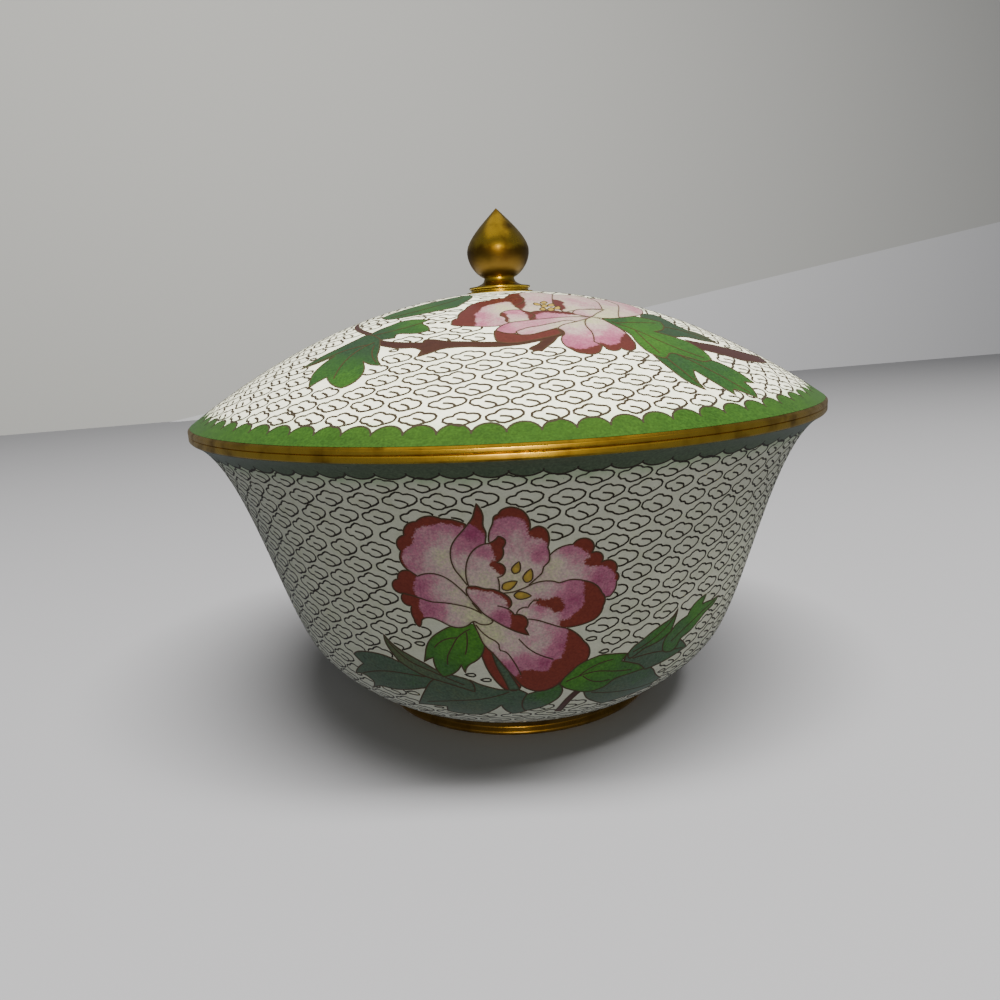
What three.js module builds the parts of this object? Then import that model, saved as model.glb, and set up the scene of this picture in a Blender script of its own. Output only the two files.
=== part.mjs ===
// Enamelled copper bowl with a domed lid, brass rims, a brass foot and a brass bud finial.
// Millimetres, +Z up. The origin is on the table, under the middle of the bowl.

import * as THREE from 'three';

// Overall sizes
const rimRadius = 76;
const bowlHeight = 72.2;
const bowlWall = 2;
const lidWall = 2;

// Foot: a low ring with a small lip on the table
const footRadius = 36;
const footHeight = 3.5;
const footWall = 1.8;
const footLipHeight = 0.7;
const footLipReach = 0.9;
const footTopReach = 0.4;

// Bowl's outline: a shallow underside, a tight knee and a wall that flares to the rim
const floorRise = 0.4;
const floorLedge = 0.8;
const undersideSlope = 14.5;
const kneeRadius = 54.4;
const kneeHeight = 20;
const kneeLean = 25.4;
const flareLean = 63;

// Brass band on the bowl's mouth
const bowlBand = 1.4;
const bowlBandReach = 0.3;
const bowlBandLand = 1.8;

// Brass band under the lid, with the lip that centres it in the mouth
const lidBand = 1.4;
const lidBandBevel = 0.5;
const lipDepth = 3;
const lipWall = 1.2;
const lipClearance = 0.4;
const edgeBreak = 0.2;

// Lid's dome: the rise of its crown over the rims, and its slope at the edge
const domeRise = 28.5;
const domeEdgeSlope = 35.6;

// Finial: collar, grooved flange, neck and pointed bud
const collarRadius = 8.25;
const collarHeight = 0.5;
const flangeRadius = 7.55;
const flangeHeight = 1.4;
const flangeGroove = 0.45;
const neckRadius = 3.7;
const neckHeight = 1.9;
const budRadius = 7.6;
const budHeight = 16.4;
const budWidest = 6.1;

// Fineness of the round forms
const roundSteps = 60;
const finialSteps = 30;
const kneeSteps = 6;
const flareSteps = 8;
const domeSteps = 9;
const budLowerSteps = 4;
const budUpperSteps = 6;

const point = (radius, height) => new THREE.Vector2(radius, height);

// Unit step that rises at the given angle over the horizontal, outwards or inwards.
function rising(degrees, outwards = 1) {
  const angle = THREE.MathUtils.degToRad(degrees);
  return point(outwards * Math.cos(angle), Math.sin(angle));
}

// Curve from one point to another that leaves and arrives along the given unit steps.
// Each pull is a share of the straight distance between the two points.
function sweep(start, leaving, startPull, end, arriving, endPull, steps) {
  const span = start.distanceTo(end);
  const first = start.clone().addScaledVector(leaving, startPull * span);
  const second = end.clone().addScaledVector(arriving, -endPull * span);
  return new THREE.CubicBezierCurve(start, first, second, end).getPoints(steps);
}

// The same curve moved sideways to its left, as the other face of a wall.
function otherFace(curve, thickness) {
  return curve.map((here, index) => {
    const before = curve[Math.max(index - 1, 0)];
    const after = curve[Math.min(index + 1, curve.length - 1)];
    const along = after.clone().sub(before).normalize();
    return point(here.x - along.y * thickness, here.y + along.x * thickness);
  });
}

// Radius of a curve of rising points at a height, carried on straight past its ends.
function radiusAt(curve, height) {
  const above = curve.findIndex((here) => here.y > height);
  const upper = above < 0 ? curve.length - 1 : Math.max(above, 1);
  const low = curve[upper - 1];
  const high = curve[upper];
  return THREE.MathUtils.mapLinear(height, low.y, high.y, low.x, high.x);
}

// Height of a curve of rising points at a radius, for a curve that runs inwards as it rises.
function heightAt(curve, radius) {
  const inside = curve.findIndex((here) => here.x < radius);
  const high = curve[inside];
  const low = curve[inside - 1];
  return THREE.MathUtils.mapLinear(radius, low.x, high.x, low.y, high.y);
}

// Named solid of revolution about Z.
function turned(name, profile, steps, material) {
  const geometry = new THREE.LatheGeometry(profile, steps);
  geometry.rotateX(Math.PI / 2);
  const mesh = new THREE.Mesh(geometry, material);
  mesh.name = name;
  return mesh;
}

const enamel = (color) => new THREE.MeshStandardMaterial({ color, roughness: 0.2, metalness: 0 });
const brass = (color) => new THREE.MeshStandardMaterial({ color, roughness: 0.35, metalness: 1 });

// Outline of the bowl, from the foot's top edge to the seat of the brass band
const footTopRadius = footRadius - footLipReach + footTopReach;
const bandSeat = bowlHeight - bowlBand;
const footEdge = point(footTopRadius, footHeight);
const knee = point(kneeRadius, kneeHeight);
const lipEdge = point(rimRadius - bowlBandReach, bandSeat);
const kneeRise = rising(90 - kneeLean);
const bellyCurve = sweep(footEdge, rising(undersideSlope), 0.24, knee, kneeRise, 0.32, kneeSteps);
const flareCurve = sweep(knee, kneeRise, 0.29, lipEdge, rising(90 - flareLean), 0.2, flareSteps);
const bowlOutside = [...bellyCurve, ...flareCurve.slice(1)];
const bowlInside = otherFace(bowlOutside, bowlWall);

function makeBowlBody() {
  const mouth = point(radiusAt(bowlInside, bandSeat), bandSeat);
  const ledge = point(footRadius - footLipReach - footWall - floorLedge, footHeight);
  const profile = [
    point(0, footHeight + floorRise),
    ledge,
    ...bowlOutside,
    mouth,
    ...bowlInside.filter((here) => here.y < bandSeat).reverse(),
    point(0, footHeight + floorRise + bowlWall),
  ];
  return turned('bowl_body', profile, roundSteps, enamel(0xe9ece6));
}

function makeBowlRim() {
  const innerSeat = radiusAt(bowlInside, bandSeat);
  const innerTop = rimRadius - edgeBreak - bowlBandLand;
  const profile = [
    point(innerSeat, bandSeat),
    lipEdge,
    point(rimRadius, bandSeat + bowlBandReach),
    point(rimRadius, bowlHeight - edgeBreak),
    point(rimRadius - edgeBreak, bowlHeight),
    point(innerTop, bowlHeight),
    point(innerSeat, bandSeat),
  ];
  return turned('bowl_rim', profile, roundSteps, brass(0xb98a35));
}

function makeFootRing() {
  const waist = footRadius - footLipReach;
  const inner = waist - footWall;
  const profile = [
    point(inner, 0),
    point(footRadius, 0),
    point(footRadius, footLipHeight),
    point(waist, footLipHeight + footLipReach),
    point(footTopRadius, footHeight),
    point(inner, footHeight),
    point(inner, 0),
  ];
  return turned('foot_ring', profile, roundSteps, brass(0x9a7230));
}

// Lid's rim: the flat band that lies on the bowl's band, and the lip inside the mouth
const lidSeat = bowlHeight + lidBand;
const mouthHeights = [bowlHeight - lipDepth, bandSeat, bowlHeight];
const mouthRadius = Math.min(...mouthHeights.map((height) => radiusAt(bowlInside, height)));
const lipRadius = mouthRadius - lipClearance;

function makeLidRim() {
  const lipBottom = bowlHeight - lipDepth;
  const inner = lipRadius - lipWall;
  const profile = [
    point(inner, lipBottom),
    point(lipRadius - edgeBreak, lipBottom),
    point(lipRadius, lipBottom + edgeBreak),
    point(lipRadius, bowlHeight),
    point(rimRadius - edgeBreak, bowlHeight),
    point(rimRadius, bowlHeight + edgeBreak),
    point(rimRadius, lidSeat - lidBandBevel),
    point(rimRadius - lidBandBevel, lidSeat),
    point(inner, lidSeat),
    point(inner, lipBottom),
  ];
  return turned('lid_rim', profile, roundSteps, brass(0xb98a35));
}

// Outline of the lid, from its edge on the brass band up to the crown
const domeEdge = point(rimRadius - lidBandBevel, lidSeat);
const crown = point(0, bowlHeight + domeRise);
const domeStart = rising(domeEdgeSlope, -1);
const domeCurve = sweep(domeEdge, domeStart, 0.32, crown, point(-1, 0), 0.36, domeSteps);
const finialSeat = heightAt(domeCurve, collarRadius);

function makeLidBody() {
  const inside = otherFace(domeCurve, lidWall);
  const innerEdge = point(radiusAt(inside, lidSeat), lidSeat);
  const profile = [
    point(0, crown.y - lidWall),
    ...inside.filter((here) => here.y > lidSeat && here.x > collarRadius / 2).reverse(),
    innerEdge,
    ...domeCurve.filter((here) => here.x > collarRadius),
    point(collarRadius, finialSeat),
    point(0, finialSeat),
  ];
  return turned('lid_body', profile, roundSteps, enamel(0xe4ebe0));
}

function makeFinial() {
  const collarTop = finialSeat + collarHeight;
  const flangeTop = collarTop + flangeHeight;
  const budBase = flangeTop + neckHeight;
  const widest = point(budRadius, budBase + budWidest);
  const tip = point(0, budBase + budHeight);
  const up = point(0, 1);
  const swell = rising(23);
  const taper = rising(45, -1);
  const lower = sweep(point(neckRadius, budBase), swell, 0.28, widest, up, 0.39, budLowerSteps);
  const upper = sweep(widest, up, 0.24, tip, taper, 0.37, budUpperSteps);
  const profile = [
    point(0, finialSeat),
    point(collarRadius, finialSeat),
    point(collarRadius, collarTop - collarHeight / 3),
    point(flangeRadius - flangeGroove, collarTop),
    point(flangeRadius - flangeGroove, collarTop + flangeHeight * 0.3),
    point(flangeRadius, collarTop + flangeHeight * 0.5),
    point(flangeRadius, flangeTop - flangeHeight * 0.2),
    point(neckRadius + (flangeRadius - neckRadius) * 0.5, flangeTop),
    point(neckRadius, flangeTop + neckHeight * 0.45),
    ...lower,
    ...upper.slice(1),
  ];
  return turned('finial', profile, finialSteps, brass(0xa97a2b));
}

const bowl = new THREE.Group();
bowl.add(makeFootRing(), makeBowlBody(), makeBowlRim());

const lid = new THREE.Group();
lid.add(makeLidRim(), makeLidBody(), makeFinial());

const liddedBowl = new THREE.Group();
liddedBowl.add(bowl, lid);

export default liddedBowl;
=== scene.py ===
"""Cloisonne bowl with a domed lid: enamelled skins, wire work, brass mounts, floor, light and camera.

Classes hold their sizes in millimetres. Meshes are written in metres, in the frame of the loaded part.
"""

import logging
import math
from dataclasses import dataclass
from enum import Enum
from functools import cached_property

import bpy
import numpy as np
from mathutils import Matrix, Vector
from mathutils.geometry import delaunay_2d_cdt

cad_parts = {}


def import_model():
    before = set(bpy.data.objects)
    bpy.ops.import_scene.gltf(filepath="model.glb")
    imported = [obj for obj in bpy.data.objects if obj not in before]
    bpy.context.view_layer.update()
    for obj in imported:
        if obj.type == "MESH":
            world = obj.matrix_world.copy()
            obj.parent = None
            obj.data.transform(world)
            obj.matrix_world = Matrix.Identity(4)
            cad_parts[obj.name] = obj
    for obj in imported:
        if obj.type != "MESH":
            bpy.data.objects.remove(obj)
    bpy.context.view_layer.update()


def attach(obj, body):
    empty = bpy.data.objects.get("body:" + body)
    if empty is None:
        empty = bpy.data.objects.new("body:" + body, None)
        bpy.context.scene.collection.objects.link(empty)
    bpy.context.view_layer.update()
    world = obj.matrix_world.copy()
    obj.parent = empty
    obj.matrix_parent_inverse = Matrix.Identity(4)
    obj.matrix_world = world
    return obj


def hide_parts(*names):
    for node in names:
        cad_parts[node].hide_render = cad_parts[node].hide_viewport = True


LOG = logging.getLogger("lidded_bowl")
MM = 0.001
SEED = 71

Shade = tuple[float, float, float]


class Kind(Enum):
    """What a cell of enamel shows."""

    PETAL = "petals"
    LEAF = "leaves"
    BRANCH = "branches"
    STAMEN = "stamens"


# Drawn lines


@dataclass(frozen=True)
class Knot:
    """One point of a drawn line, with its corner mark and the bulge of the stretch after it."""

    x: float
    y: float
    corner: bool
    bulge: float


def read_knots(text: str) -> list[Knot]:
    """Reads a drawn line.

    Args:
        text: Points "x y" parted by commas. A third word "c" makes a corner, and "c0.4" is a corner that
            starts an arc of that bulge.

    Returns:
        The points in order.
    """
    knots = []
    for part in text.split(","):
        words = part.split()
        mark = words[2] if len(words) > 2 else ""
        bulge = float(mark[1:] or 0) if mark else 0.0
        knots.append(Knot(float(words[0]), float(words[1]), bool(mark), bulge))
    return knots


def arc(start: np.ndarray, end: np.ndarray, bulge: float, step: float) -> np.ndarray:
    """Samples a circular arc without its end point.

    The bulge is twice the arc's height over its chord. The swept angle is four times its arc tangent, and
    the arc lies to the right of the way from start to end.

    Args:
        start: First point.
        end: Last point.
        bulge: Twice the height over the chord.
        step: Longest distance between samples.

    Returns:
        The samples as rows.
    """
    chord = end - start
    length = np.linalg.norm(chord)
    along = chord / length
    right = np.array([along[1], -along[0]])
    swept = 4 * math.atan(bulge)
    radius = length / (2 * math.sin(swept / 2))
    centre = (start + end) / 2 - right * radius * math.cos(swept / 2)
    count = max(int(math.ceil(radius * swept / step)), 3)
    angles = np.linspace(-swept / 2, swept / 2, count + 1)[:-1, None]
    return centre + radius * (np.sin(angles) * along + np.cos(angles) * right)


def smooth_run(points: np.ndarray, step: float) -> np.ndarray:
    """Samples a smooth curve through points, without the last one.

    Each stretch is a cubic with the slopes of its two ends. A slope is the mean of the two chords that meet
    there, weighted by the length of the other chord, and an end slope mirrors its neighbour in the chord.

    Args:
        points: Points to pass through, as rows.
        step: Longest distance between samples.

    Returns:
        The samples as rows.
    """
    gaps = np.linalg.norm(np.diff(points, axis=0), axis=1)
    chords = np.diff(points, axis=0) / gaps[:, None]
    slopes = np.empty_like(points)
    if len(points) == 2:
        slopes[:] = chords[0]
    else:
        weight = (gaps[:-1] / (gaps[:-1] + gaps[1:]))[:, None]
        slopes[1:-1] = chords[1:] * weight + chords[:-1] * (1 - weight)
        slopes[0] = 2 * chords[0] - slopes[1]
        slopes[-1] = 2 * chords[-1] - slopes[-2]
    pieces = []
    for index, gap in enumerate(gaps):
        count = max(int(math.ceil(gap / step)), 1)
        t = np.linspace(0, 1, count + 1)[:-1, None]
        pieces.append(
            (2 * t**3 - 3 * t**2 + 1) * points[index]
            + (t**3 - 2 * t**2 + t) * gap * slopes[index]
            + (3 * t**2 - 2 * t**3) * points[index + 1]
            + (t**3 - t**2) * gap * slopes[index + 1]
        )
    return np.vstack(pieces)


def drawn(text: str, closed: bool = True, step: float = 0.5) -> np.ndarray:
    """Samples a drawn line, smooth between its corners.

    Args:
        text: The line in the notation of read_knots.
        closed: True for an outline.
        step: Longest distance between samples, in millimetres.

    Returns:
        Points as rows. An outline leaves out the repeated first point.
    """
    knots = read_knots(text)
    if closed:
        corners = [index for index, knot in enumerate(knots) if knot.corner]
        if not corners:
            points = np.array([(knot.x, knot.y) for knot in knots])
            wrapped = np.vstack([points[-2:], points, points[:3]])
            run = smooth_run(wrapped, step)
            first = int(np.argmin(np.linalg.norm(run - points[0], axis=1)))
            rest = run[first + 2:]
            last = first + 2 + int(np.argmin(np.linalg.norm(rest - points[0], axis=1)))
            return run[first:last]
        knots = knots[corners[0]:] + knots[:corners[0]]
        knots = knots + [knots[0]]
    points = np.array([(knot.x, knot.y) for knot in knots])
    pieces = []
    here = 0
    while here < len(knots) - 1:
        if knots[here].bulge:
            pieces.append(arc(points[here], points[here + 1], knots[here].bulge, step))
            here += 1
            continue
        there = here + 1
        while there < len(knots) - 1 and not knots[there].corner:
            there += 1
        pieces.append(smooth_run(points[here:there + 1], step))
        here = there
    if not closed:
        pieces.append(points[-1:])
    return np.vstack(pieces)


def inside(points: np.ndarray, outline: np.ndarray) -> np.ndarray:
    """Tells which points lie within an outline.

    A point is inside when a ray to its right crosses the outline an odd number of times.

    Args:
        points: Points as rows.
        outline: Corners of a closed outline as rows.

    Returns:
        One truth value for each point.
    """
    here = outline
    there = np.roll(outline, -1, axis=0)
    x, y = points[:, :1], points[:, 1:]
    rise = np.where(there[:, 1] == here[:, 1], 1e-9, there[:, 1] - here[:, 1])
    crossing = here[:, 0] + (y - here[:, 1]) * (there[:, 0] - here[:, 0]) / rise
    spans = (here[:, 1] > y) != (there[:, 1] > y)
    return (spans & (x < crossing)).sum(axis=1) % 2 == 1


def distance(points: np.ndarray, line: np.ndarray, closed: bool = True) -> np.ndarray:
    """Finds how far points lie from a line of straight stretches.

    The foot of a point on a stretch is its projection held between both ends. The result is the least
    distance over all stretches.

    Args:
        points: Points as rows.
        line: Corners of the line as rows.
        closed: True when the last corner joins the first.

    Returns:
        One distance for each point.
    """
    here = line if closed else line[:-1]
    there = np.roll(line, -1, axis=0) if closed else line[1:]
    way = there - here
    square = np.maximum((way**2).sum(axis=1), 1e-12)
    best = np.empty(len(points))
    for first in range(0, len(points), 2000):
        block = points[first:first + 2000, None, :]
        share = np.clip(((block - here) * way).sum(axis=2) / square, 0, 1)
        foot = here + share[..., None] * way
        best[first:first + 2000] = np.sqrt(((block - foot) ** 2).sum(axis=2).min(axis=1))
    return best


def depth_in(points: np.ndarray, outline: np.ndarray) -> np.ndarray:
    """Signed distance to an outline: positive inside it, negative outside it.

    Args:
        points: Points as rows.
        outline: Corners of a closed outline as rows.

    Returns:
        One signed distance for each point.
    """
    return np.where(inside(points, outline), 1, -1) * distance(points, outline)


# Meshes


@dataclass
class Sheet:
    """Corners, faces and corner values of a mesh, in millimetres."""

    corners: np.ndarray
    faces: list[np.ndarray]
    values: dict[str, np.ndarray]

    @staticmethod
    def join(sheets: list["Sheet"]) -> "Sheet":
        """Puts several meshes into one.

        Args:
            sheets: Meshes with the same value names.

        Returns:
            One mesh with all corners and faces.
        """
        faces = []
        start = 0
        for sheet in sheets:
            faces.extend(block + start for block in sheet.faces)
            start += len(sheet.corners)
        names = sheets[0].values.keys()
        values = {name: np.concatenate([sheet.values[name] for sheet in sheets]) for name in names}
        return Sheet(np.concatenate([sheet.corners for sheet in sheets]), faces, values)

    def piece(self, name: str, material: bpy.types.Material, crease: float = 35.0) -> bpy.types.Object:
        """Makes the object in metres, smooth up to a crease angle.

        Args:
            name: Name of the object.
            material: Its finish.
            crease: Angle in degrees over which an edge stays sharp.

        Returns:
            The new object, linked to the scene.
        """
        mesh = bpy.data.meshes.new(name)
        sizes = np.concatenate([np.full(len(block), block.shape[1]) for block in self.faces])
        loops = np.concatenate([block.ravel() for block in self.faces])
        mesh.vertices.add(len(self.corners))
        mesh.vertices.foreach_set("co", (self.corners * MM).astype(np.float32).ravel())
        mesh.loops.add(len(loops))
        mesh.loops.foreach_set("vertex_index", loops.astype(np.int32))
        mesh.polygons.add(len(sizes))
        mesh.polygons.foreach_set("loop_start", (np.cumsum(sizes) - sizes).astype(np.int32))
        mesh.update(calc_edges=True)
        mesh.validate()
        for label, value in self.values.items():
            attribute = mesh.attributes.new(label, "FLOAT_VECTOR", "POINT")
            attribute.data.foreach_set("vector", value.astype(np.float32).ravel())
        mesh.polygons.foreach_set("use_smooth", np.ones(len(mesh.polygons), dtype=bool))
        mesh.set_sharp_from_angle(angle=math.radians(crease))
        mesh.materials.append(material)
        made = bpy.data.objects.new(name, mesh)
        bpy.context.scene.collection.objects.link(made)
        LOG.info("%s: %d faces", name, len(mesh.polygons))
        return made


def lattice(rows: int, columns: int, wrap_rows: bool = False) -> np.ndarray:
    """Faces of a grid whose columns close into a ring.

    The corner at a row and column has the index row times columns plus column.

    Args:
        rows: Number of rows of corners.
        columns: Number of corners in a ring.
        wrap_rows: True when the last row joins the first.

    Returns:
        Four corner indices for each face.
    """
    row = np.arange(rows if wrap_rows else rows - 1)[:, None]
    column = np.arange(columns)[None, :]
    above = (row + 1) % rows
    beside = (column + 1) % columns
    return np.stack(
        [row * columns + column, row * columns + beside, above * columns + beside, above * columns + column],
        axis=-1,
    ).reshape(-1, 4)


def turned(section: np.ndarray, steps: int, name: str = "", values: np.ndarray | None = None) -> Sheet:
    """Turns a section about the upright axis.

    A corner at radius r, height z and angle a goes to (r sin a, -r cos a, z). A section that starts and
    ends on the axis is closed by two fans; any other section is closed on itself.

    Args:
        section: Radius and height of the section's points, so ordered that the solid lies to their left.
        steps: Corners in a full turn.
        name: Name of the corner values, if any.
        values: Three values for each point of the section.

    Returns:
        The closed mesh.
    """
    on_axis = section[0, 0] == 0
    body = section[1:-1] if on_axis else section
    angle = np.linspace(0, 2 * np.pi, steps, endpoint=False)
    ring = np.stack([np.sin(angle), -np.cos(angle)], axis=-1)
    corners = np.empty((len(body), steps, 3))
    corners[..., :2] = body[:, None, :1] * ring
    corners[..., 2] = body[:, None, 1]
    corners = corners.reshape(-1, 3)
    faces = [lattice(len(body), steps, wrap_rows=not on_axis)]
    held = {name: np.repeat(values[1:-1] if on_axis else values, steps, axis=0)} if name else {}
    if on_axis:
        column = np.arange(steps)
        beside = (column + 1) % steps
        top = (len(body) - 1) * steps
        low, high = len(corners), len(corners) + 1
        faces.append(np.stack([np.full(steps, low), beside, column], axis=-1))
        faces.append(np.stack([np.full(steps, high), top + column, top + beside], axis=-1))
        corners = np.vstack([corners, [0, 0, section[0, 1]], [0, 0, section[-1, 1]]])
        if name:
            held[name] = np.vstack([held[name], values[0], values[-1]])
    return Sheet(corners, faces, held)


def rounded(section: np.ndarray, radius: float, steps: int = 4) -> np.ndarray:
    """Rounds the corners of a closed section.

    Every corner is replaced by a parabola that starts and ends at the radius, or at two fifths of a
    shorter side, away from it.

    Args:
        section: Corners as rows.
        radius: Distance from a corner to the start of its curve.
        steps: Stretches in each curve.

    Returns:
        The rounded section as rows.
    """
    before = np.roll(section, 1, axis=0) - section
    after = np.roll(section, -1, axis=0) - section
    long_before = np.linalg.norm(before, axis=1)
    long_after = np.linalg.norm(after, axis=1)
    first = section + before * (np.minimum(radius, 0.4 * long_before) / long_before)[:, None]
    last = section + after * (np.minimum(radius, 0.4 * long_after) / long_after)[:, None]
    t = np.linspace(0, 1, steps + 1)[None, :, None]
    curve = (1 - t) ** 2 * first[:, None] + 2 * t * (1 - t) * section[:, None] + t**2 * last[:, None]
    return curve.reshape(-1, 2)


def rising(degrees: float, side: int = 1) -> np.ndarray:
    """Unit step that rises at an angle over the horizontal, outwards or inwards.

    Args:
        degrees: Angle over the horizontal.
        side: 1 for outwards, -1 for inwards.

    Returns:
        Its radius and height.
    """
    angle = math.radians(degrees)
    return np.array([side * math.cos(angle), math.sin(angle)])


def sweep(start, leaving, start_pull: float, end, arriving, end_pull: float, steps: int) -> np.ndarray:
    """Curve between two points with a given way out and way in.

    It is a cubic Bezier. Each handle is a pull times the straight distance, along the unit step.

    Args:
        start: First point.
        leaving: Unit step out of it.
        start_pull: Length of the first handle over the straight distance.
        end: Last point.
        arriving: Unit step into it.
        end_pull: Length of the last handle over the straight distance.
        steps: Stretches in the curve.

    Returns:
        Points as rows.
    """
    start, end = np.asarray(start, float), np.asarray(end, float)
    span = np.linalg.norm(end - start)
    first = start + start_pull * span * np.asarray(leaving)
    second = end - end_pull * span * np.asarray(arriving)
    t = np.linspace(0, 1, steps + 1)[:, None]
    return (1 - t) ** 3 * start + 3 * t * (1 - t) ** 2 * first + 3 * t**2 * (1 - t) * second + t**3 * end


class Skin:
    """Outer face of a turned wall, followed by its arc length from its lower edge."""

    def __init__(self, curve: np.ndarray) -> None:
        """Keeps a dense curve.

        Args:
            curve: Radius and height of points from the lower edge up.
        """
        self.curve = curve
        self.reach = np.r_[0, np.cumsum(np.linalg.norm(np.diff(curve, axis=0), axis=1))]
        way = np.gradient(curve, self.reach, axis=0)
        self.way = way / np.linalg.norm(way, axis=1)[:, None]

    @property
    def length(self) -> float:
        """Arc length of the whole curve."""
        return float(self.reach[-1])

    def radius(self, arc_length: np.ndarray) -> np.ndarray:
        """Radius at an arc length.

        Args:
            arc_length: Distance along the curve from its lower edge.

        Returns:
            The radius.
        """
        return np.interp(arc_length, self.reach, self.curve[:, 0])

    def place(self, angle: np.ndarray, arc_length: np.ndarray, lift: np.ndarray | float) -> np.ndarray:
        """Point over the skin.

        The point on the curve is moved along the outward normal by the lift, then turned by the angle from
        the front towards the right.

        Args:
            angle: Angle in radians.
            arc_length: Distance along the curve.
            lift: Height over the skin.

        Returns:
            Positions in millimetres, with a last axis of three.
        """
        point, way = self.read(self.curve, arc_length), self.read(self.way, arc_length)
        radius = point[..., 0] + lift * way[..., 1]
        height = point[..., 1] - lift * way[..., 0]
        return np.stack([radius * np.sin(angle), -radius * np.cos(angle), height + 0 * angle], axis=-1)

    def read(self, table: np.ndarray, arc_length: np.ndarray) -> np.ndarray:
        """Reads the curve or its steps between samples, along straight lines.

        Args:
            table: Two columns that go with the curve's arc lengths.
            arc_length: Distance along the curve.

        Returns:
            Both values, with a last axis of two.
        """
        return np.stack([np.interp(arc_length, self.reach, column) for column in table.T], axis=-1)

    def stations(self, spacing: float) -> np.ndarray:
        """Even arc lengths along the whole curve.

        Args:
            spacing: Largest distance between them.

        Returns:
            The arc lengths.
        """
        return np.linspace(0, self.length, int(math.ceil(self.length / spacing)) + 1)

    def even(self, spacing: float) -> np.ndarray:
        """The curve again, at even arc lengths.

        Args:
            spacing: Largest distance between points.

        Returns:
            Radius and height as rows.
        """
        return self.read(self.curve, self.stations(spacing))

    def other_face(self, spacing: float, thickness: float) -> np.ndarray:
        """The wall's other face.

        Args:
            spacing: Largest distance between points.
            thickness: Distance between both faces.

        Returns:
            Radius and height as rows, from the lower edge up.
        """
        way = self.read(self.way, self.stations(spacing))
        return self.even(spacing) + thickness * np.stack([-way[:, 1], way[:, 0]], axis=-1)


@dataclass(frozen=True)
class Spot:
    """Place on a skin where a flat plan has its origin."""

    skin: Skin
    turn: float
    height: float

    def lay(self, flat: np.ndarray, lift: np.ndarray | float) -> np.ndarray:
        """Lays plan points on the skin.

        The angle is the spot's turn plus x over the radius at that height, and the arc length is the
        spot's height plus y.

        Args:
            flat: Plan points, with a last axis of two.
            lift: Height over the skin.

        Returns:
            Positions in millimetres.
        """
        arc_length = self.height + flat[..., 1]
        angle = math.radians(self.turn) + flat[..., 0] / self.skin.radius(arc_length)
        return self.skin.place(angle, arc_length, lift)

    def plan(self, angle: np.ndarray, arc_length: np.ndarray) -> np.ndarray:
        """Finds the plan points of places on the skin.

        Args:
            angle: Angle in radians.
            arc_length: Distance along the skin.

        Returns:
            Plan points, with a last axis of two.
        """
        away = (angle - math.radians(self.turn) + np.pi) % (2 * np.pi) - np.pi
        return np.stack([away * self.skin.radius(arc_length), arc_length - self.height], axis=-1)


@dataclass(frozen=True)
class Wire:
    """Flattened wire: its visible width, its height over the enamel and how deep it goes."""

    width: float = 0.36
    proud: float = 0.04
    depth: float = 0.2

    def run(self, spot: Spot, paths: np.ndarray, closed: bool = False) -> Sheet:
        """Makes wires along plan paths of equal length.

        Args:
            spot: Where the plan lies.
            paths: Array of paths, points and two coordinates.
            closed: True when each path closes into a loop.

        Returns:
            The wires as one mesh.
        """
        plan, lift = self.sections(paths, closed)
        return self.faces(spot.lay(plan, lift), closed)

    def trace(self, skin: Skin, angle: np.ndarray, arc_length: np.ndarray, closed: bool) -> Sheet:
        """Makes wires along paths given by angle and arc length.

        Each path is drawn in a plan of its own, whose x is the angle from the path's mean times the radius.

        Args:
            skin: Where the paths lie.
            angle: Angles of paths and points.
            arc_length: Arc lengths of paths and points.
            closed: True when each path closes into a loop.

        Returns:
            The wires as one mesh.
        """
        middle = angle.mean(axis=1, keepdims=True)
        flat = np.stack([(angle - middle) * skin.radius(arc_length), arc_length], axis=-1)
        plan, lift = self.sections(flat, closed)
        turn = middle[..., None] + plan[..., 0] / skin.radius(plan[..., 1])
        return self.faces(skin.place(turn, plan[..., 1], lift), closed)

    def sections(self, paths: np.ndarray, closed: bool) -> tuple[np.ndarray, np.ndarray]:
        """Gives every point of the paths a three-sided section.

        Two corners of a section lie half the width to either side of the path, along its normal in the
        plan, and the third lies below the path.

        Args:
            paths: Array of paths, points and two coordinates.
            closed: True when each path closes into a loop.

        Returns:
            Plan points of the corners, and their lifts.
        """
        way = np.roll(paths, -1, axis=1) - np.roll(paths, 1, axis=1) if closed else np.gradient(paths, axis=1)
        way = way / np.maximum(np.linalg.norm(way, axis=2), 1e-9)[..., None]
        side = np.stack([-way[..., 1], way[..., 0]], axis=-1) * self.width / 2
        plan = np.stack([paths + side, paths - side, paths], axis=2)
        return plan, np.broadcast_to([self.proud, self.proud, -self.depth], plan.shape[:-1])

    @staticmethod
    def faces(corners: np.ndarray, closed: bool) -> Sheet:
        """Joins the sections of wires by faces.

        Args:
            corners: Array of wires, sections, three corners and three coordinates.
            closed: True when each wire closes into a loop.

        Returns:
            The wires as one mesh.
        """
        wires, sections = corners.shape[:2]
        first = (np.arange(wires) * sections)[:, None, None]
        here = np.arange(sections if closed else sections - 1)[None, :, None]
        corner = np.arange(3)[None, None, :]
        there = (here + 1) % sections
        beside = (corner + 1) % 3
        quads = np.stack(
            [
                (first + here) * 3 + corner,
                (first + here) * 3 + beside,
                (first + there) * 3 + beside,
                (first + there) * 3 + corner,
            ],
            axis=-1,
        ).reshape(-1, 4)
        blocks = [quads]
        if not closed:
            start = (np.arange(wires) * sections * 3)[:, None]
            end = start + (sections - 1) * 3
            blocks.append(start + np.array([[2, 1, 0]]))
            blocks.append(end + np.array([[0, 1, 2]]))
        return Sheet(corners.reshape(-1, 3), blocks, {})


# Sprays


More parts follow.
